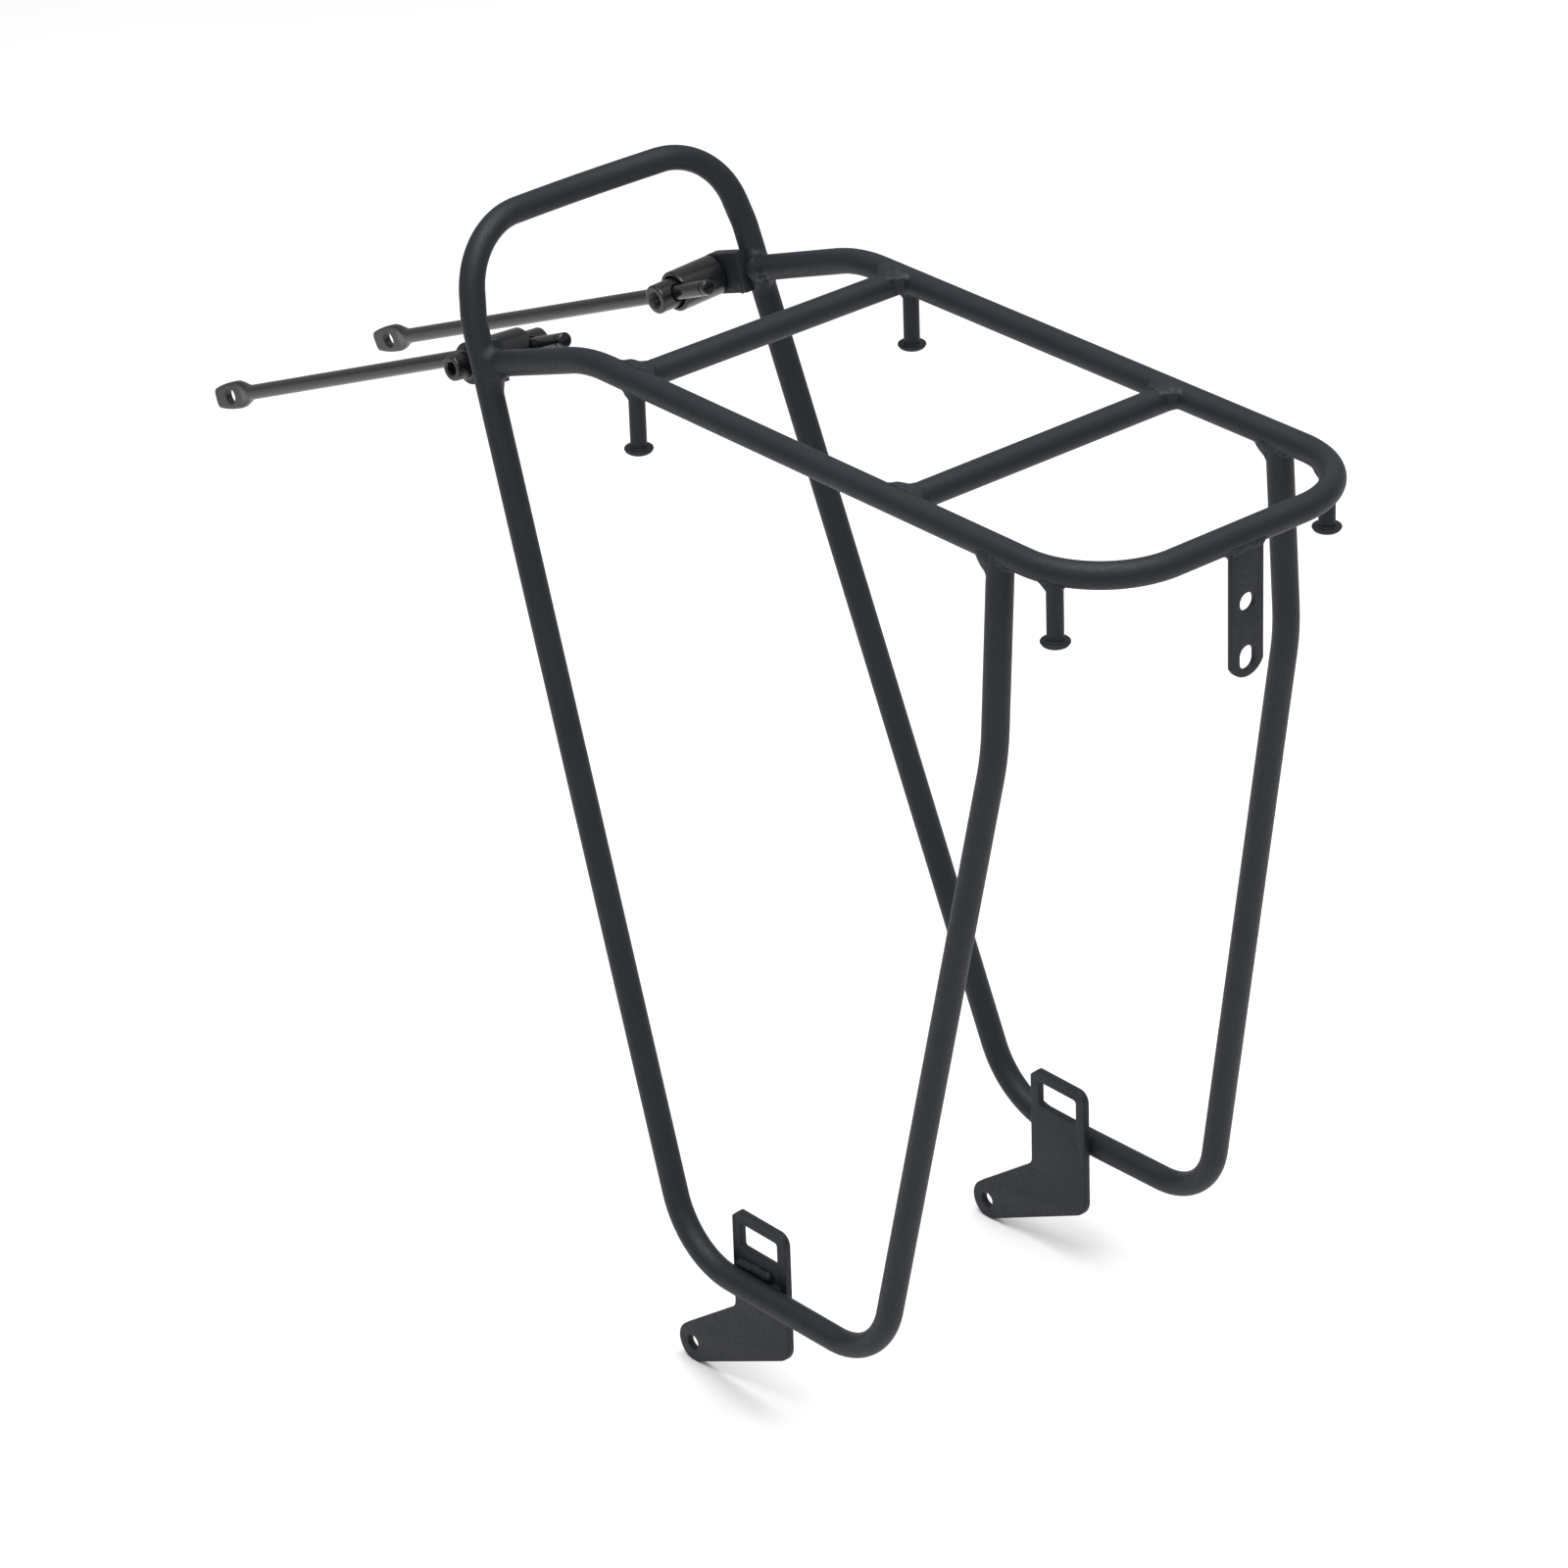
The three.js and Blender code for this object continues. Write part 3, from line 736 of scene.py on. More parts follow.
def make_stay_coat():
    """Olive-black coat on the stay, bare and glossy behind the clamp."""
    material, n = new_look("stay_coat")
    polish = n.add("ShaderNodeAttribute", attribute_name="polish").outputs["Fac"]
    mix = n.add("ShaderNodeMixRGB", blend_type="MIX")
    n.link(polish, mix.inputs["Fac"])
    olive_black = [(0.3, (0.0080, 0.0085, 0.0074)), (0.7, (0.0115, 0.0117, 0.0102))]
    n.link(n.ramp(n.grain(60, detail=4), olive_black), mix.inputs["Color1"])
    mix.inputs["Color2"].default_value = (0.0055, 0.006, 0.007, 1)
    n.link(mix.outputs["Color"], n.shader.inputs["Base Color"])
    n.link(n.ramp(polish, [(0, 0.34), (1, 0.12)]), n.shader.inputs["Roughness"])
    n.shader.inputs["Specular IOR Level"].default_value = 0.46
    n.link(n.bump(n.grain(1100, detail=3), 0.00002), n.shader.inputs["Normal"])
    return material


def make_black_hardware():
    material, n = new_look("black_hardware")
    black = [(0.3, (0.0055, 0.0062, 0.0074)), (0.7, (0.0070, 0.0078, 0.0092))]
    n.link(n.ramp(n.grain(90, detail=3), black), n.shader.inputs["Base Color"])
    n.link(n.ramp(n.grain(1200), [(0.3, 0.24), (0.7, 0.29)]), n.shader.inputs["Roughness"])
    n.shader.inputs["Specular IOR Level"].default_value = 0.5
    n.link(n.bump(n.grain(1600, detail=2), 0.000003), n.shader.inputs["Normal"])
    return material


powder_coat = make_powder_coat()
stay_coat = make_stay_coat()
black_hardware = make_black_hardware()

# ---- Frame rods ----

LEG_CORNERS = with_mirror(LEG_AND_HOOP, [HOOP_TOP])
DECK_CORNERS = with_mirror(DECK)
TUBE_CORNERS = {
    word: [((x, CROSS_TUBE_REACH, z), 0), ((x, -CROSS_TUBE_REACH, z), 0)]
    for word, (x, z) in CROSS_TUBES.items()
}


def build_rods():
    make_piece("legs_and_hoop", *rod(LEG_CORNERS), powder_coat, "frame", nodes=["leg_and_hoop_rod"])
    make_piece("deck_loop", *rod(DECK_CORNERS), powder_coat, "frame", nodes=["deck_rod"])
    for word, corners in TUBE_CORNERS.items():
        make_piece(f"deck_bar_{word}", *rod(corners), powder_coat, "frame", nodes=[f"cross_tube_{word}"])


# ---- Studs ----


def stud_shape(x, y):
    """A pin hanging from the rail with a domed, round-edged head."""
    head = STUD_HEAD_RADIUS
    stem = STUD_STEM_RADIUS
    profile = [(stem, 0)]
    for angle in range(0, 91, 18):
        turn = math.radians(angle)
        drop = STUD_HEAD_TOP + STUD_THROAT * (1 - math.sin(turn))
        profile.append((stem + STUD_THROAT * (1 - math.cos(turn)), drop))
    for angle in range(0, 151, 15):
        turn = math.radians(angle)
        rim = head - STUD_RIM + STUD_RIM * math.sin(turn)
        profile.append((rim, STUD_HEAD_TOP - STUD_RIM + STUD_RIM * math.cos(turn)))
    edge, lip = profile[-1]
    for angle in range(15, 90, 8):
        turn = math.radians(angle)
        profile.append((edge * math.cos(turn), lip - (lip - STUD_BOTTOM) * math.sin(turn)))
    profile.append((0.1, STUD_BOTTOM))
    rings = []
    for radius, drop in profile:
        ring = turned_ring(0, radius, ROD_SIDES)[:, [0, 2, 1]]
        rings.append(ring + (x, y, DECK_Z + drop))
    return stacked(rings)


def build_studs():
    for place, (x, y) in STUDS.items():
        for side, word in SIDES:
            verts, faces = stud_shape(x, side * y)
            make_piece(f"pin_{place}_{word}", verts, faces, powder_coat, "frame",
                       nodes=[f"stud_{place}_{word}"])


# ---- Flat plates ----


def build_light_bracket():
    end = (BRACKET_HALF_WIDTH**2 + BRACKET_END_RISE**2) / (2 * BRACKET_END_RISE)
    half_arc = math.asin(BRACKET_HALF_WIDTH / end)
    outline = []
    for k in range(25):
        angle = -half_arc + 2 * half_arc * k / 24
        outline.append((end * math.sin(angle), BRACKET_BOTTOM_Z + end * (1 - math.cos(angle))))
    outline += [(BRACKET_HALF_WIDTH, BRACKET_TOP_Z), (-BRACKET_HALF_WIDTH, BRACKET_TOP_Z)]
    slot = []
    for k in range(48):
        angle = 2 * math.pi * (k + 0.5) / 48
        shift = math.copysign(BRACKET_SLOT_EXTRA / 2, math.sin(angle))
        u = BRACKET_HOLE_RADIUS * math.cos(angle)
        slot.append((u, BRACKET_SLOT_Z + shift + BRACKET_HOLE_RADIUS * math.sin(angle)))
    holes = [circle((0, BRACKET_HOLE_Z), BRACKET_HOLE_RADIUS), np.array(slot)]
    verts, faces = plate(np.array(outline), holes, BRACKET_THICKNESS, edge=BRACKET_EDGE)
    back = REAR_BAR_X - ROD_RADIUS + BRACKET_SET_IN
    standing = np.stack([back + BRACKET_THICKNESS - verts[:, 1], verts[:, 0], verts[:, 2]], axis=1)
    make_piece("light_strap", standing, faces, powder_coat, "frame", nodes=["light_bracket"])


def foot_plate_outline():
    """Side view (x, z) of the plate: round toe, notch above it, chamfered crest, heel."""
    toe_top, toe_bottom = math.radians(TOE_TOP_SLOPE), math.radians(TOE_BOTTOM_SLOPE)
    top_tangent = (-TOE_RADIUS * math.sin(toe_top), TOE_RADIUS * math.cos(toe_top))
    bottom_tangent = (TOE_RADIUS * math.sin(toe_bottom), -TOE_RADIUS * math.cos(toe_bottom))
    notch_z = top_tangent[1] + (PLATE_FRONT_X - top_tangent[0]) * math.tan(toe_top)
    heel_z = bottom_tangent[1] + (PLATE_REAR_X - bottom_tangent[0]) * math.tan(toe_bottom)
    toe = []
    for k in range(25):
        angle = toe_bottom - math.pi / 2 + (math.pi + toe_top - toe_bottom) * k / 24
        toe.append(((TOE_RADIUS * math.cos(angle), TOE_RADIUS * math.sin(angle)), 0))
    return rounded_corners([
        ((PLATE_REAR_X, heel_z), PLATE_HEEL_ROUND),
        *toe,
        ((PLATE_FRONT_X, notch_z), PLATE_NOTCH_ROUND),
        ((PLATE_FRONT_X, PLATE_TOP_Z - PLATE_CHAMFER[1]), 1),
        ((PLATE_FRONT_X - PLATE_CHAMFER[0], PLATE_TOP_Z), 1),
        ((PLATE_REAR_X, PLATE_TOP_Z), PLATE_CREST_ROUND),
    ])


def build_foot_plates():
    x0, x1 = STRAP_SLOT_X
    z0, z1 = STRAP_SLOT_Z
    slot_corners = ((x0, z0), (x1, z0), (x1, z1), (x0, z1))
    slot = rounded_corners([(corner, STRAP_SLOT_ROUND) for corner in slot_corners])
    holes = [slot, circle((0, 0), BOLT_HOLE_RADIUS)]
    verts, faces = plate(foot_plate_outline(), holes, PLATE_THICKNESS, edge=PLATE_EDGE)
    verts = verts + (0, PLATE_INNER_Y, 0)
    for side, word in SIDES:
        make_piece(f"dropout_plate_{word}", *to_side(verts, faces, side), powder_coat, "frame",
                   nodes=[f"foot_plate_{word}"])


# ---- Stay clamps, in the clamp frame ----


def clamp_matrix(pitch):
    """The left clamp frame, pitched down towards the front."""
    turn = Matrix.Rotation(math.radians(CLAMP_TILT), 4, "X") @ Matrix.Rotation(math.radians(pitch), 4, "Y")
    return np.array(Matrix.Translation(CLAMP_CENTRE) @ turn)


def in_clamp(verts, pitch):
    matrix = clamp_matrix(pitch)
    return np.asarray(verts) @ matrix[:3, :3].T + matrix[:3, 3]


def build_lugs():
    angles = np.linspace(-math.pi / 2, math.pi / 2, 33)
    nose = [(LUG_RADIUS * math.cos(angle), LUG_RADIUS * math.sin(angle)) for angle in angles]
    rear_end = -LUG_LENGTH - LUG_ROOT
    outline = np.array([(rear_end, -LUG_RADIUS), *nose, (rear_end, LUG_RADIUS)])
    verts, faces = plate(outline, [circle((0, 0), SCREW_CLEARANCE_RADIUS)], LUG_THICKNESS, edge=LUG_EDGE)
    verts = in_clamp(verts + (0, LUG_INNER_Y, 0), LUG_PITCH)
    for side, word in SIDES:
        make_piece(f"stay_lug_{word}", *to_side(verts, faces, side), powder_coat, "frame",
                   nodes=[f"clamp_lug_{word}"])


def spacer_field(points):
    """The spacer: a sleeve with a cup for the nut, a bore for the screw and a groove for the stay."""
    x, y, z = points.T
    r = np.hypot(x, z)
    outside = soft_max(1.0, r - SPACER_RADIUS, SPACER_INNER_Y - y, y - SPACER_OUTER_Y)
    cup = soft_max(0.8, r - SPACER_CUP_RADIUS, y - SPACER_CUP_FLOOR_Y)
    bore = r - SCREW_CLEARANCE_RADIUS
    groove = np.hypot(y, z) - CROSS_HOLE_RADIUS
    return soft_max(0.8, outside, -cup, -bore, -groove)


def nut_field(side):
    """The eye nut: a barrel with a threaded bore and a hole across it for the stay."""

    def field(points):
        x, y, z = points.T
        r = np.hypot(x, z)
        turn = np.arctan2(x, z) / (2 * np.pi)
        phase = (y / THREAD_PITCH - side * turn) % 1
        thread = NUT_THREAD_DEPTH * np.abs(2 * phase - 1)
        outside = soft_max(0.9, r - NUT_RADIUS, NUT_INNER_Y - y, y - NUT_OUTER_Y)
        mouth = soft_max(0.5, r - NUT_THREAD_RADIUS - 0.55, np.abs(y - NUT_INNER_Y) - 0.5)
        bore = r - NUT_THREAD_RADIUS - thread + 0.2
        eye = np.hypot(y, z) - CROSS_HOLE_RADIUS
        return soft_max(0.5, outside, -bore, -mouth, -eye)

    return field


def cast_in_clamp(field, radius, y0, y1, step, side):
    """A field's surface as a mesh in its place, with the gradient for normals."""
    margin = 0.6
    room = radius + margin
    verts, faces = surface_net(field, (-room, y0 - margin, -room), (room, y1 + margin, room), step)
    normals = slope(field, verts)
    turn = clamp_matrix(STAY_PITCH)[:3, :3]
    normals = (normals / lengths(normals)[:, None]) @ turn.T * (1, side, 1)
    return *to_side(in_clamp(verts, STAY_PITCH), faces, side), normals


def build_spacers_and_nuts():
    for side, word in SIDES:
        verts, faces, normals = cast_in_clamp(
            spacer_field, SPACER_RADIUS, SPACER_INNER_Y, SPACER_OUTER_Y, SPACER_STEP, side)
        make_piece(f"clamp_cup_{word}", verts, faces, black_hardware, f"spacer_{word}",
                   nodes=[f"clamp_spacer_{word}"], normals=normals)
        verts, faces, normals = cast_in_clamp(
            nut_field(side), NUT_RADIUS, NUT_INNER_Y, NUT_OUTER_Y, NUT_STEP, side)
        make_piece(f"clamp_nut_{word}", verts, faces, black_hardware, f"nut_{word}",
                   nodes=[f"eye_nut_{word}"], normals=normals)


def rounded_profile(corners, round_by=0.3):
    """A closed turning profile (radius, y) with every corner rounded a little."""
    return rounded_corners([(place, round_by) for place in corners], step=30)


def build_washers():
    y0, y1 = WASHER_INNER_Y, WASHER_INNER_Y + WASHER_THICKNESS
    hole = SCREW_CLEARANCE_RADIUS
    profile = rounded_profile([(hole, y0), (WASHER_RADIUS, y0), (WASHER_RADIUS, y1), (hole, y1)])
    rings = [turned_ring(y, radius, 72) for radius, y in profile]
    verts, faces = stacked(rings, caps=False)
    verts = in_clamp(verts, STAY_PITCH)
    for side, word in SIDES:
        make_piece(f"clamp_ring_{word}", *to_side(verts, faces, side), black_hardware, "frame",
                   nodes=[f"clamp_washer_{word}"])


def screw_rings(side):
    """Cap screw from its tip to the floor of its hexagonal socket."""
    sides = KNURL_TEETH * 6
    rings = []
    tip, start = SCREW_TIP_Y, SCREW_THREAD_START_Y
    angle = 2 * np.pi * np.arange(sides) / sides
    rings.append(turned_ring(tip, SCREW_SHANK_RADIUS - 1.2, sides))
    for k in range(int((start - tip) / THREAD_PITCH * 8)):
        y = tip + 0.3 + k * THREAD_PITCH / 8
        phase = (y / THREAD_PITCH - side * angle / (2 * np.pi)) % 1
        fade = min(1, (y - tip) / 1.0, (start - y) / 0.8 + 0.2)
        groove = SCREW_THREAD_DEPTH * fade * np.abs(2 * phase - 1)
        rings.append(turned_ring(y, SCREW_SHANK_RADIUS - 0.55 + 0.45 * fade - groove, sides))
    shank, head = SCREW_SHANK_RADIUS, SCREW_HEAD_RADIUS
    face = SCREW_HEAD_Y + SCREW_HEAD_HEIGHT
    rings.append(turned_ring(start, shank, sides))
    rings.append(turned_ring(SCREW_HEAD_Y, shank, sides))
    rings.append(turned_ring(SCREW_HEAD_Y, head - 0.3, sides))
    rings.append(turned_ring(SCREW_HEAD_Y + 0.3, head - KNURL_DEPTH, sides))
    knurl = {"teeth": KNURL_TEETH, "tooth_depth": KNURL_DEPTH}
    rings.append(turned_ring(SCREW_HEAD_Y + 0.5, head, sides, **knurl))
    rings.append(turned_ring(face - 1.1, head, sides, **knurl))
    for turn in (0, 20, 40, 60, 80, 90):
        back = SCREW_HEAD_ROUND * (1 - math.sin(math.radians(turn)))
        inwards = SCREW_HEAD_ROUND * (1 - math.cos(math.radians(turn)))
        rings.append(turned_ring(face - back, head - KNURL_DEPTH - inwards, sides))
    flat = SOCKET_ACROSS_FLATS / 2
    rings.append(turned_ring(face, flat / math.cos(math.pi / 6) + 0.35, sides))
    rings.append(turned_ring(face - 0.3, flat / math.cos(math.pi / 6), sides))
    rings.append(turned_ring(face - 0.45, flat, sides, hexagon=True))
    rings.append(turned_ring(face - SOCKET_DEPTH, flat, sides, hexagon=True))
    rings.append(turned_ring(face - SOCKET_DEPTH - 0.8, 0.2, sides))
    return rings


def build_screws():
    for side, word in SIDES:
        verts, faces = stacked(screw_rings(side))
        verts, faces = to_side(in_clamp(verts, STAY_PITCH), faces, side)
        make_piece(f"clamp_bolt_{word}", verts, faces, black_hardware, f"screw_{word}",
                   sharp=35, nodes=[f"clamp_screw_{word}"])


# ---- Stays ----


def stay_section(x, half_thickness, half_width, squareness=1.0, sides=64):
    """A section across the stay: round, or squarer where the rod is pressed flat."""
    angle = 2 * np.pi * (np.arange(sides) + 0.5) / sides
    c, s = np.cos(angle), np.sin(angle)
    y = np.sign(c) * np.abs(c) ** squareness * half_thickness
    z = np.sign(s) * np.abs(s) ** squareness * half_width
    return np.stack([np.full(sides, x), y, z], axis=1)


def smooth(t):
    t = min(1, max(0, t))
    return t * t * (3 - 2 * t)


def stay_rings():
    """Rod with a fine groove near its rear end, pressed flat into an eyelet at the front."""
    rings = []
    for k in range(6):
        turn = math.pi / 2 * k / 5
        x = STAY_REAR_X + STAY_END_ROUND * (1 - math.cos(turn))
        rings.append((x, STAY_RADIUS - STAY_END_ROUND * (1 - math.sin(turn))))
    for k in range(17):
        wave = math.sin(math.pi * k / 16) ** 2 * math.cos(2 * math.pi * k / 16) ** 2
        x = STAY_REAR_X + STAY_GROOVE_START + STAY_GROOVE_LENGTH * k / 16
        rings.append((x, STAY_RADIUS - STAY_GROOVE_DEPTH * wave))
    sections = [stay_section(x, radius, radius) for x, radius in rings]
    taper_start, taper_end = (EYELET_X + offset for offset in EYELET_TAPER)
    for k in range(25):
        x = taper_start + (taper_end - taper_start) * k / 24
        press = smooth(k / 24 * 1.25)
        spread = smooth(k / 24)
        thickness = STAY_RADIUS + (EYELET_HALF_THICKNESS - STAY_RADIUS) * press
        width = STAY_RADIUS + (EYELET_HALF_WIDTH - STAY_RADIUS) * spread
        squareness = 1 - (1 - EYELET_SQUARENESS) * press
        sections.append(stay_section(x, thickness, width, squareness))
    corner_x = EYELET_X + EYELET_TIP - EYELET_CORNER
    for k in range(1, 20):
        bow = EYELET_BOW * (k / 19) ** 2.4
        x = taper_end + (corner_x - taper_end) * k / 19
        width = EYELET_HALF_WIDTH * (1 - bow)
        sections.append(stay_section(x, EYELET_HALF_THICKNESS, width, EYELET_SQUARENESS))
    for k in range(1, 11):
        turn = math.pi / 2 * k / 10
        x = corner_x + EYELET_CORNER * math.sin(turn)
        width = EYELET_HALF_WIDTH * (1 - EYELET_BOW) - EYELET_CORNER * 1.4 * (1 - math.cos(turn))
        thickness = EYELET_HALF_THICKNESS - 0.35 * smooth((k - 6) / 4)
        sections.append(stay_section(x, thickness, width, EYELET_SQUARENESS))
    return sections


def eyelet_drill():
    """The eyelet hole's shape: a bore that opens slightly at both faces."""
    half, bore = EYELET_HALF_THICKNESS, EYELET_HOLE_RADIUS
    profile = [(bore + 1.5, -half - 1), (bore + 0.5, -half), (bore, -half + 0.45)]
    profile += [(radius, -y) for radius, y in profile[::-1]]
    rings = [turned_ring(y, radius, 64) + (EYELET_X, 0, 0) for radius, y in profile]
    return stacked(rings)


def build_stays():
    drill_mesh = bpy.data.meshes.new("drill")
    verts, faces = eyelet_drill()
    drill_mesh.from_pydata((in_clamp(verts, STAY_PITCH) * MM).tolist(), [], faces)
    drill = bpy.data.objects.new("drill", drill_mesh)
    bpy.context.scene.collection.objects.link(drill)
    verts, faces = stacked(stay_rings())
    verts = in_clamp(verts, STAY_PITCH)
    for side, word in SIDES:
        drill.scale = (1, side, 1)
        piece = make_piece(f"strut_{word}", *to_side(verts, faces, side), stay_coat, f"stay_{word}",
                           nodes=[f"stay_{word}"])
        cutter = piece.modifiers.new("hole", "BOOLEAN")
        cutter.object = drill
        cutter.operation = "DIFFERENCE"
        cutter.solver = "EXACT"
        apply_modifiers(piece)
        piece.data.set_sharp_from_angle(angle=math.radians(35))
        points = np.array([vertex.co for vertex in piece.data.vertices]) / MM * (1, side, 1)
        along = (points - np.array(CLAMP_CENTRE)) @ clamp_matrix(STAY_PITCH)[:3, 0]
        polish = np.clip((POLISH_START_X - along) / 2, 0, 1)
        piece.data.attributes.new("polish", "FLOAT", "POINT").data.foreach_set("value", polish)
    bpy.data.objects.remove(drill)


def apply_modifiers(piece):
    bpy.context.view_layer.update()
    depsgraph = bpy.context.evaluated_depsgraph_get()
    cut = bpy.data.meshes.new_from_object(piece.evaluated_get(depsgraph))
    piece.modifiers.clear()
    old = piece.data
    name = old.name
    piece.data = cut
    bpy.data.meshes.remove(old)
    cut.name = name


# ---- Weld beads ----


def weld_necks():
    """The deck rod's front ends and the clamp lugs, both on the front legs."""
    neck = np.array(DECK[0][0])
    joint = neck - (1, 0, 0)
    lug = clamp_matrix(LUG_PITCH)
    lug_middle = lug[:3, :3] @ (-LUG_LENGTH / 2, LUG_INNER_Y + LUG_THICKNESS / 2, 0) + lug[:3, 3]
    lug_half = (LUG_LENGTH / 2, LUG_THICKNESS / 2, LUG_RADIUS)
    solids = [
        rod_field(LEG_CORNERS, joint, 15),
        rod_field(pulled_back(DECK_CORNERS, ROD_RADIUS / 2), joint, 15),
        block_field(lug_middle, lug[:3, :3], lug_half),
    ]
    offset, radii, height = NECK_ISLAND
    weld("neck", solids, joint, 17, toward(neck, (0, 0, -1), *NECK_BEAD),
         lump=0.35, crown=0, shares=(1, 1, LUG_SHARE), pad=island(neck + offset, radii, height), hollow=True)


def weld_rear_legs():
    joint = np.array(LEG_AND_HOOP[0][0]) - (0, 0, ROD_RADIUS)
    leg_top = pulled_back(LEG_CORNERS, ROD_RADIUS)
    solids = [rod_field(leg_top, joint, 15), rod_field(DECK_CORNERS, joint, 15)]
    weld("rear_leg", solids, joint, 15, toward(joint, (1, 0, 0), *REAR_LEG_BEAD))


def weld_cross_tubes():
    offset, radii, height = CROSS_TUBE_ISLAND
    for word, (x, z) in CROSS_TUBES.items():
        joint = np.array((x, RAIL_Y - ROD_RADIUS, z))
        tube = pulled_back(TUBE_CORNERS[word], ROD_RADIUS)
        solids = [rod_field(tube, joint, 15), rod_field(DECK_CORNERS, joint, 15)]
        crotch = joint + (0, 0, ROD_RADIUS / 2)
        weld(f"deck_bar_{word}", solids, joint, 13, toward(crotch, (0, 0, 1), *CROSS_TUBE_BEAD, -1, 2),
             lump=0.25, crown=0, pad=island(joint + offset, radii, height))


def weld_studs():
    for word, (x, y) in STUDS.items():
        joint = (x, y, DECK_Z - ROD_RADIUS)
        pin = [((x, y, DECK_Z - STUD_STEM_RADIUS), 0), ((x, y, DECK_Z + STUD_BOTTOM + 4), 0)]
        solids = [rod_field(pin, joint, 12, STUD_STEM_RADIUS), rod_field(DECK_CORNERS, joint, 12)]
        weld(f"pin_{word}", solids, joint, 11, toward(joint, (1, 0, 0), *STUD_BEAD),
             lump=0.12, softness=0.5)


def weld_foot_plates():
    """The lower run of each leg along the outer face of its foot plate, with a string above it."""
    middle_x = (PLATE_FRONT_X + PLATE_REAR_X) / 2
    half_width = (PLATE_FRONT_X - PLATE_REAR_X) / 2
    face_y = PLATE_INNER_Y + PLATE_THICKNESS
    middle = (middle_x, PLATE_INNER_Y + PLATE_THICKNESS / 2, 50)
    low, high = (np.array(LEG_AND_HOOP[i][0]) for i in (2, 3))
    run = (high - low) / np.linalg.norm(high - low)
    run_middle = low + run * (middle_x - low[0]) / run[0]
    ends = []
    for reach in (-PLATE_STRING_REACH, PLATE_STRING_REACH):
        x, _, z = run_middle + run * (PLATE_STRING_OFFSET + reach)
        ends.append((x, face_y + 0.3, z + PLATE_STRING_RISE))
    solids = [
        block_field(middle, np.eye(3), (half_width, PLATE_THICKNESS / 2, 20)),
        rod_field(LEG_CORNERS, run_middle, 22),
    ]
    weld("foot_plate", solids, (run_middle[0], face_y, run_middle[2] + 2), 18,
         lambda points: FOOT_PLATE_BEAD,
         limit=lambda points: np.abs(points[:, 0] - middle_x) - half_width + 2.5,
         pad=string(*ends, PLATE_STRING_RADIUS))


def weld_light_strap():
    """The strap's top edge against the rear bar, with a string that stays behind its front face."""
    joint = (REAR_BAR_X, 0, DECK_Z - ROD_RADIUS)
    bar_back = REAR_BAR_X - ROD_RADIUS
    strap_x = bar_back + BRACKET_SET_IN + BRACKET_THICKNESS / 2
    half = (BRACKET_THICKNESS / 2, BRACKET_HALF_WIDTH, 12)
    strap = block_field((strap_x, 0, BRACKET_TOP_Z - 12), np.eye(3), half)
    ends = [(strap_x - 0.2, side * STRAP_STRING_REACH, BRACKET_TOP_Z) for side in (-1, 1)]
    weld("light_strap", [strap, rod_field(DECK_CORNERS, joint, 15)], joint, 13,
         lambda points: STRAP_BEAD, crown=0, sides=((1, ""),),
         limit=lambda points: bar_back + 0.15 - points[:, 0],
         pad=string(*ends, STRAP_STRING_RADIUS))


# ---- Floor, light and camera ----


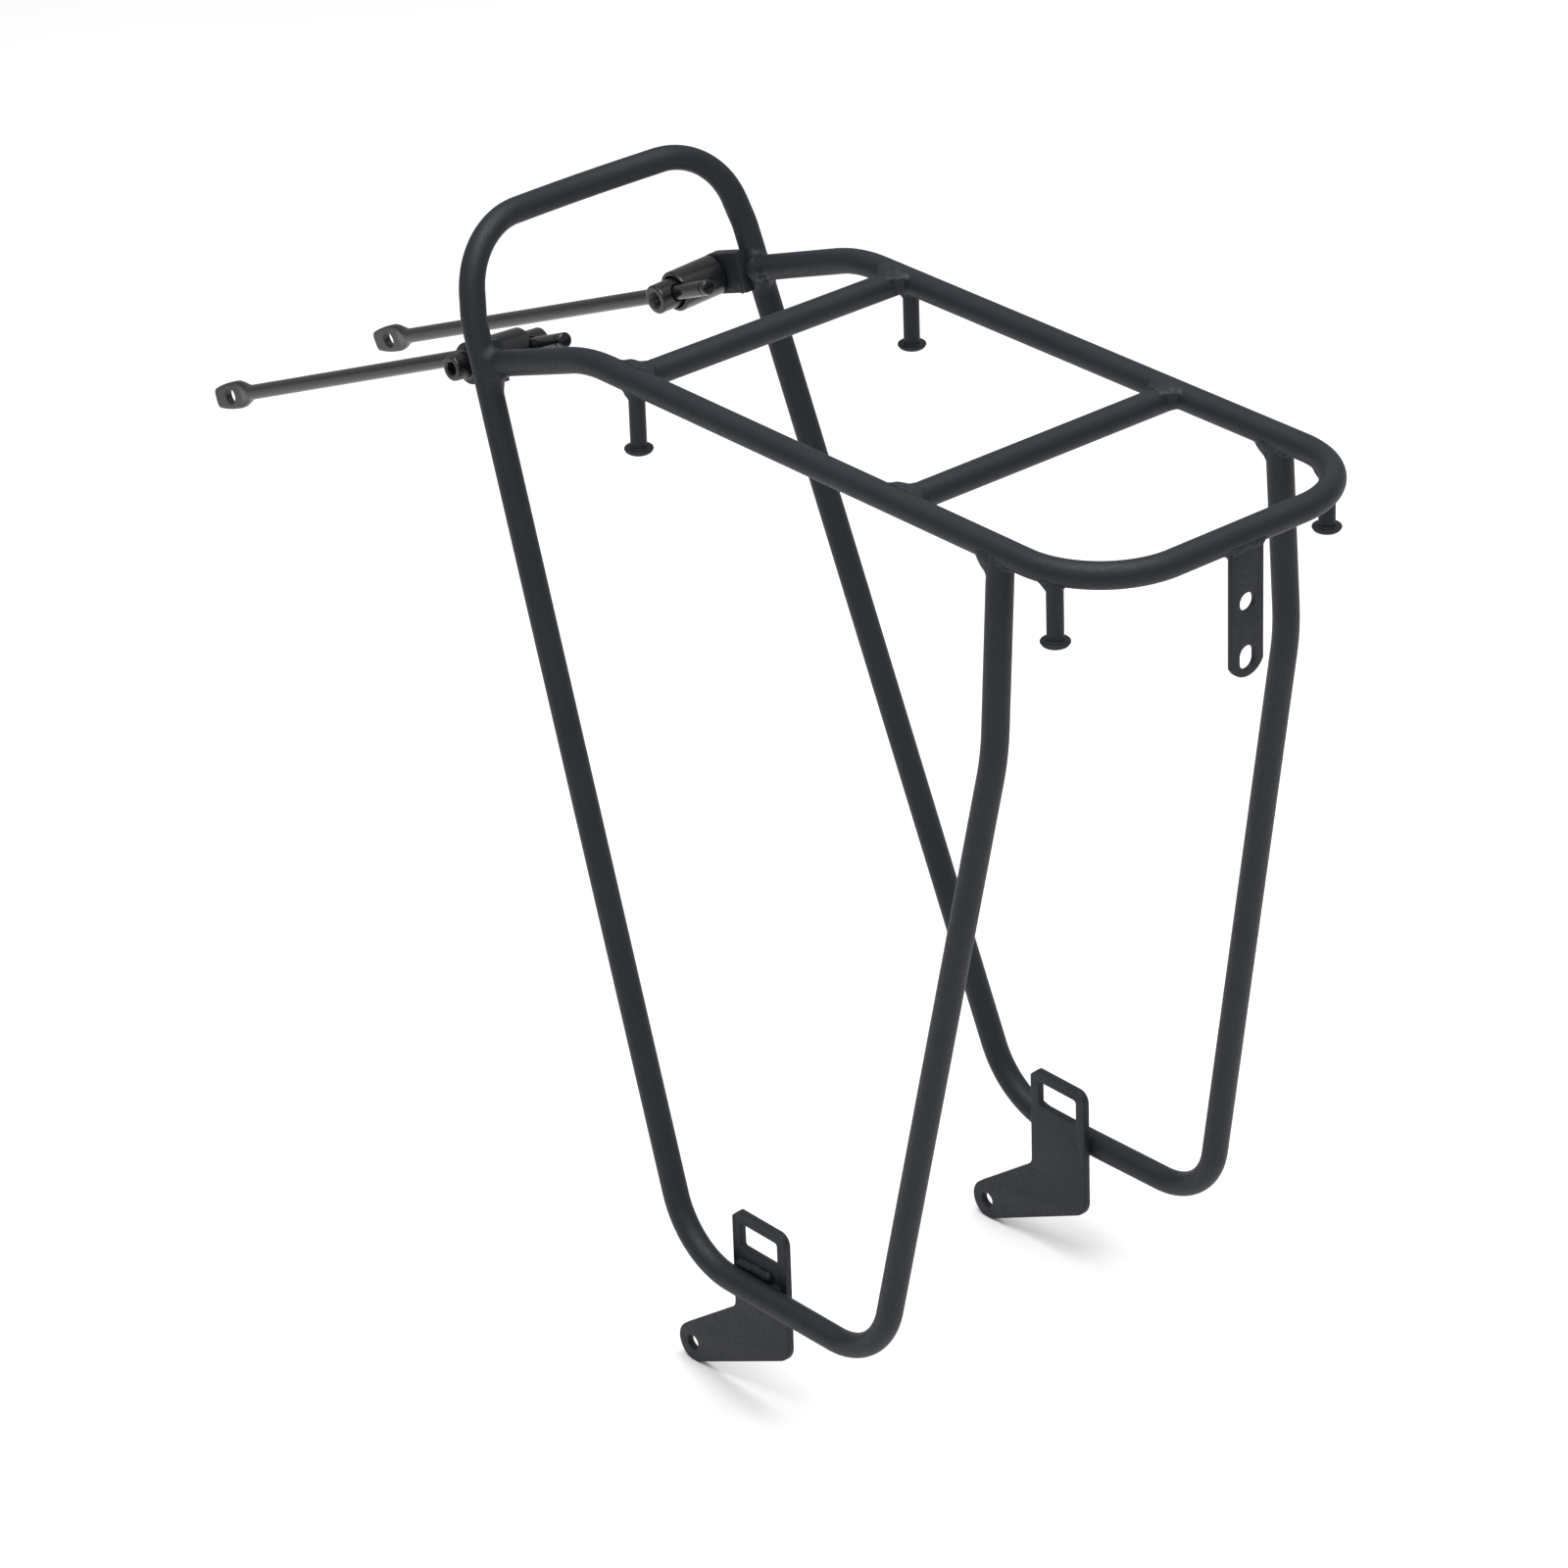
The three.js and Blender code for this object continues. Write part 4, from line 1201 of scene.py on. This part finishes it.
def build_floor():
    low, high = (Vector(corner) for corner in cad_box)
    material, n = new_look("studio_floor")
    n.link(n.ramp(n.grain(3, detail=3), [(0.3, 0.86), (0.7, 0.88)]), n.shader.inputs["Base Color"])
    n.shader.inputs["Roughness"].default_value = 0.8
    n.shader.inputs["Specular IOR Level"].default_value = 0.1
    size, cells = 14.0, 28
    mesh = bpy.data.meshes.new("floor")
    middle = (low + high) / 2
    points = []
    for i in range(cells + 1):
        for j in range(cells + 1):
            points.append((middle.x + size * (i / cells - 0.5), middle.y + size * (j / cells - 0.5), low.z))
    quads = []
    for i in range(cells):
        for j in range(cells):
            a = i * (cells + 1) + j
            quads.append((a, a + cells + 1, a + cells + 2, a + 1))
    mesh.from_pydata(points, [], quads)
    mesh.materials.append(material)
    floor = bpy.data.objects.new("floor", mesh)
    bpy.context.scene.collection.objects.link(floor)


def area_light(name, place, size, watts, target=(0, 0, 0.2)):
    data = bpy.data.lights.new(name, "AREA")
    data.shape = "DISK"
    data.size = size
    data.energy = watts
    light = bpy.data.objects.new(name, data)
    light.location = place
    light.rotation_mode = "QUATERNION"
    light.rotation_quaternion = (Vector(target) - Vector(place)).to_track_quat("-Z", "Y")
    bpy.context.scene.collection.objects.link(light)


def build_light():
    world = bpy.data.worlds.new("studio")
    world.use_nodes = True
    background = world.node_tree.nodes["Background"]
    background.inputs["Color"].default_value = (1, 1, 1, 1)
    background.inputs["Strength"].default_value = 0.48
    bpy.context.scene.world = world
    area_light("overhead", place=(-0.3, 0.2, 2.6), size=2.6, watts=94)
    area_light("side", place=(-1.2, 2.2, 1.8), size=1.6, watts=7)
    bpy.context.scene.view_settings.view_transform = "Standard"


def build_camera():
    data = bpy.data.cameras.new("camera")
    data.sensor_width = CAMERA_SENSOR
    data.lens = CAMERA_LENS
    data.clip_start, data.clip_end = 0.1, 60
    camera = bpy.data.objects.new("camera", data)
    heading = Matrix.Rotation(math.radians(CAMERA_HEADING + 90), 4, "Z")
    tilt = Matrix.Rotation(math.radians(90 - CAMERA_ELEVATION), 4, "X")
    roll = Matrix.Rotation(math.radians(CAMERA_ROLL), 4, "Z")
    camera.matrix_world = Matrix.Translation(Vector(CAMERA_PLACE) * MM) @ heading @ tilt @ roll
    bpy.context.scene.collection.objects.link(camera)
    bpy.context.scene.camera = camera


build_rods()
build_studs()
build_light_bracket()
build_foot_plates()
build_lugs()
build_spacers_and_nuts()
build_washers()
build_screws()
build_stays()
weld_necks()
weld_rear_legs()
weld_cross_tubes()
weld_studs()
weld_foot_plates()
weld_light_strap()
build_floor()
build_light()
build_camera()
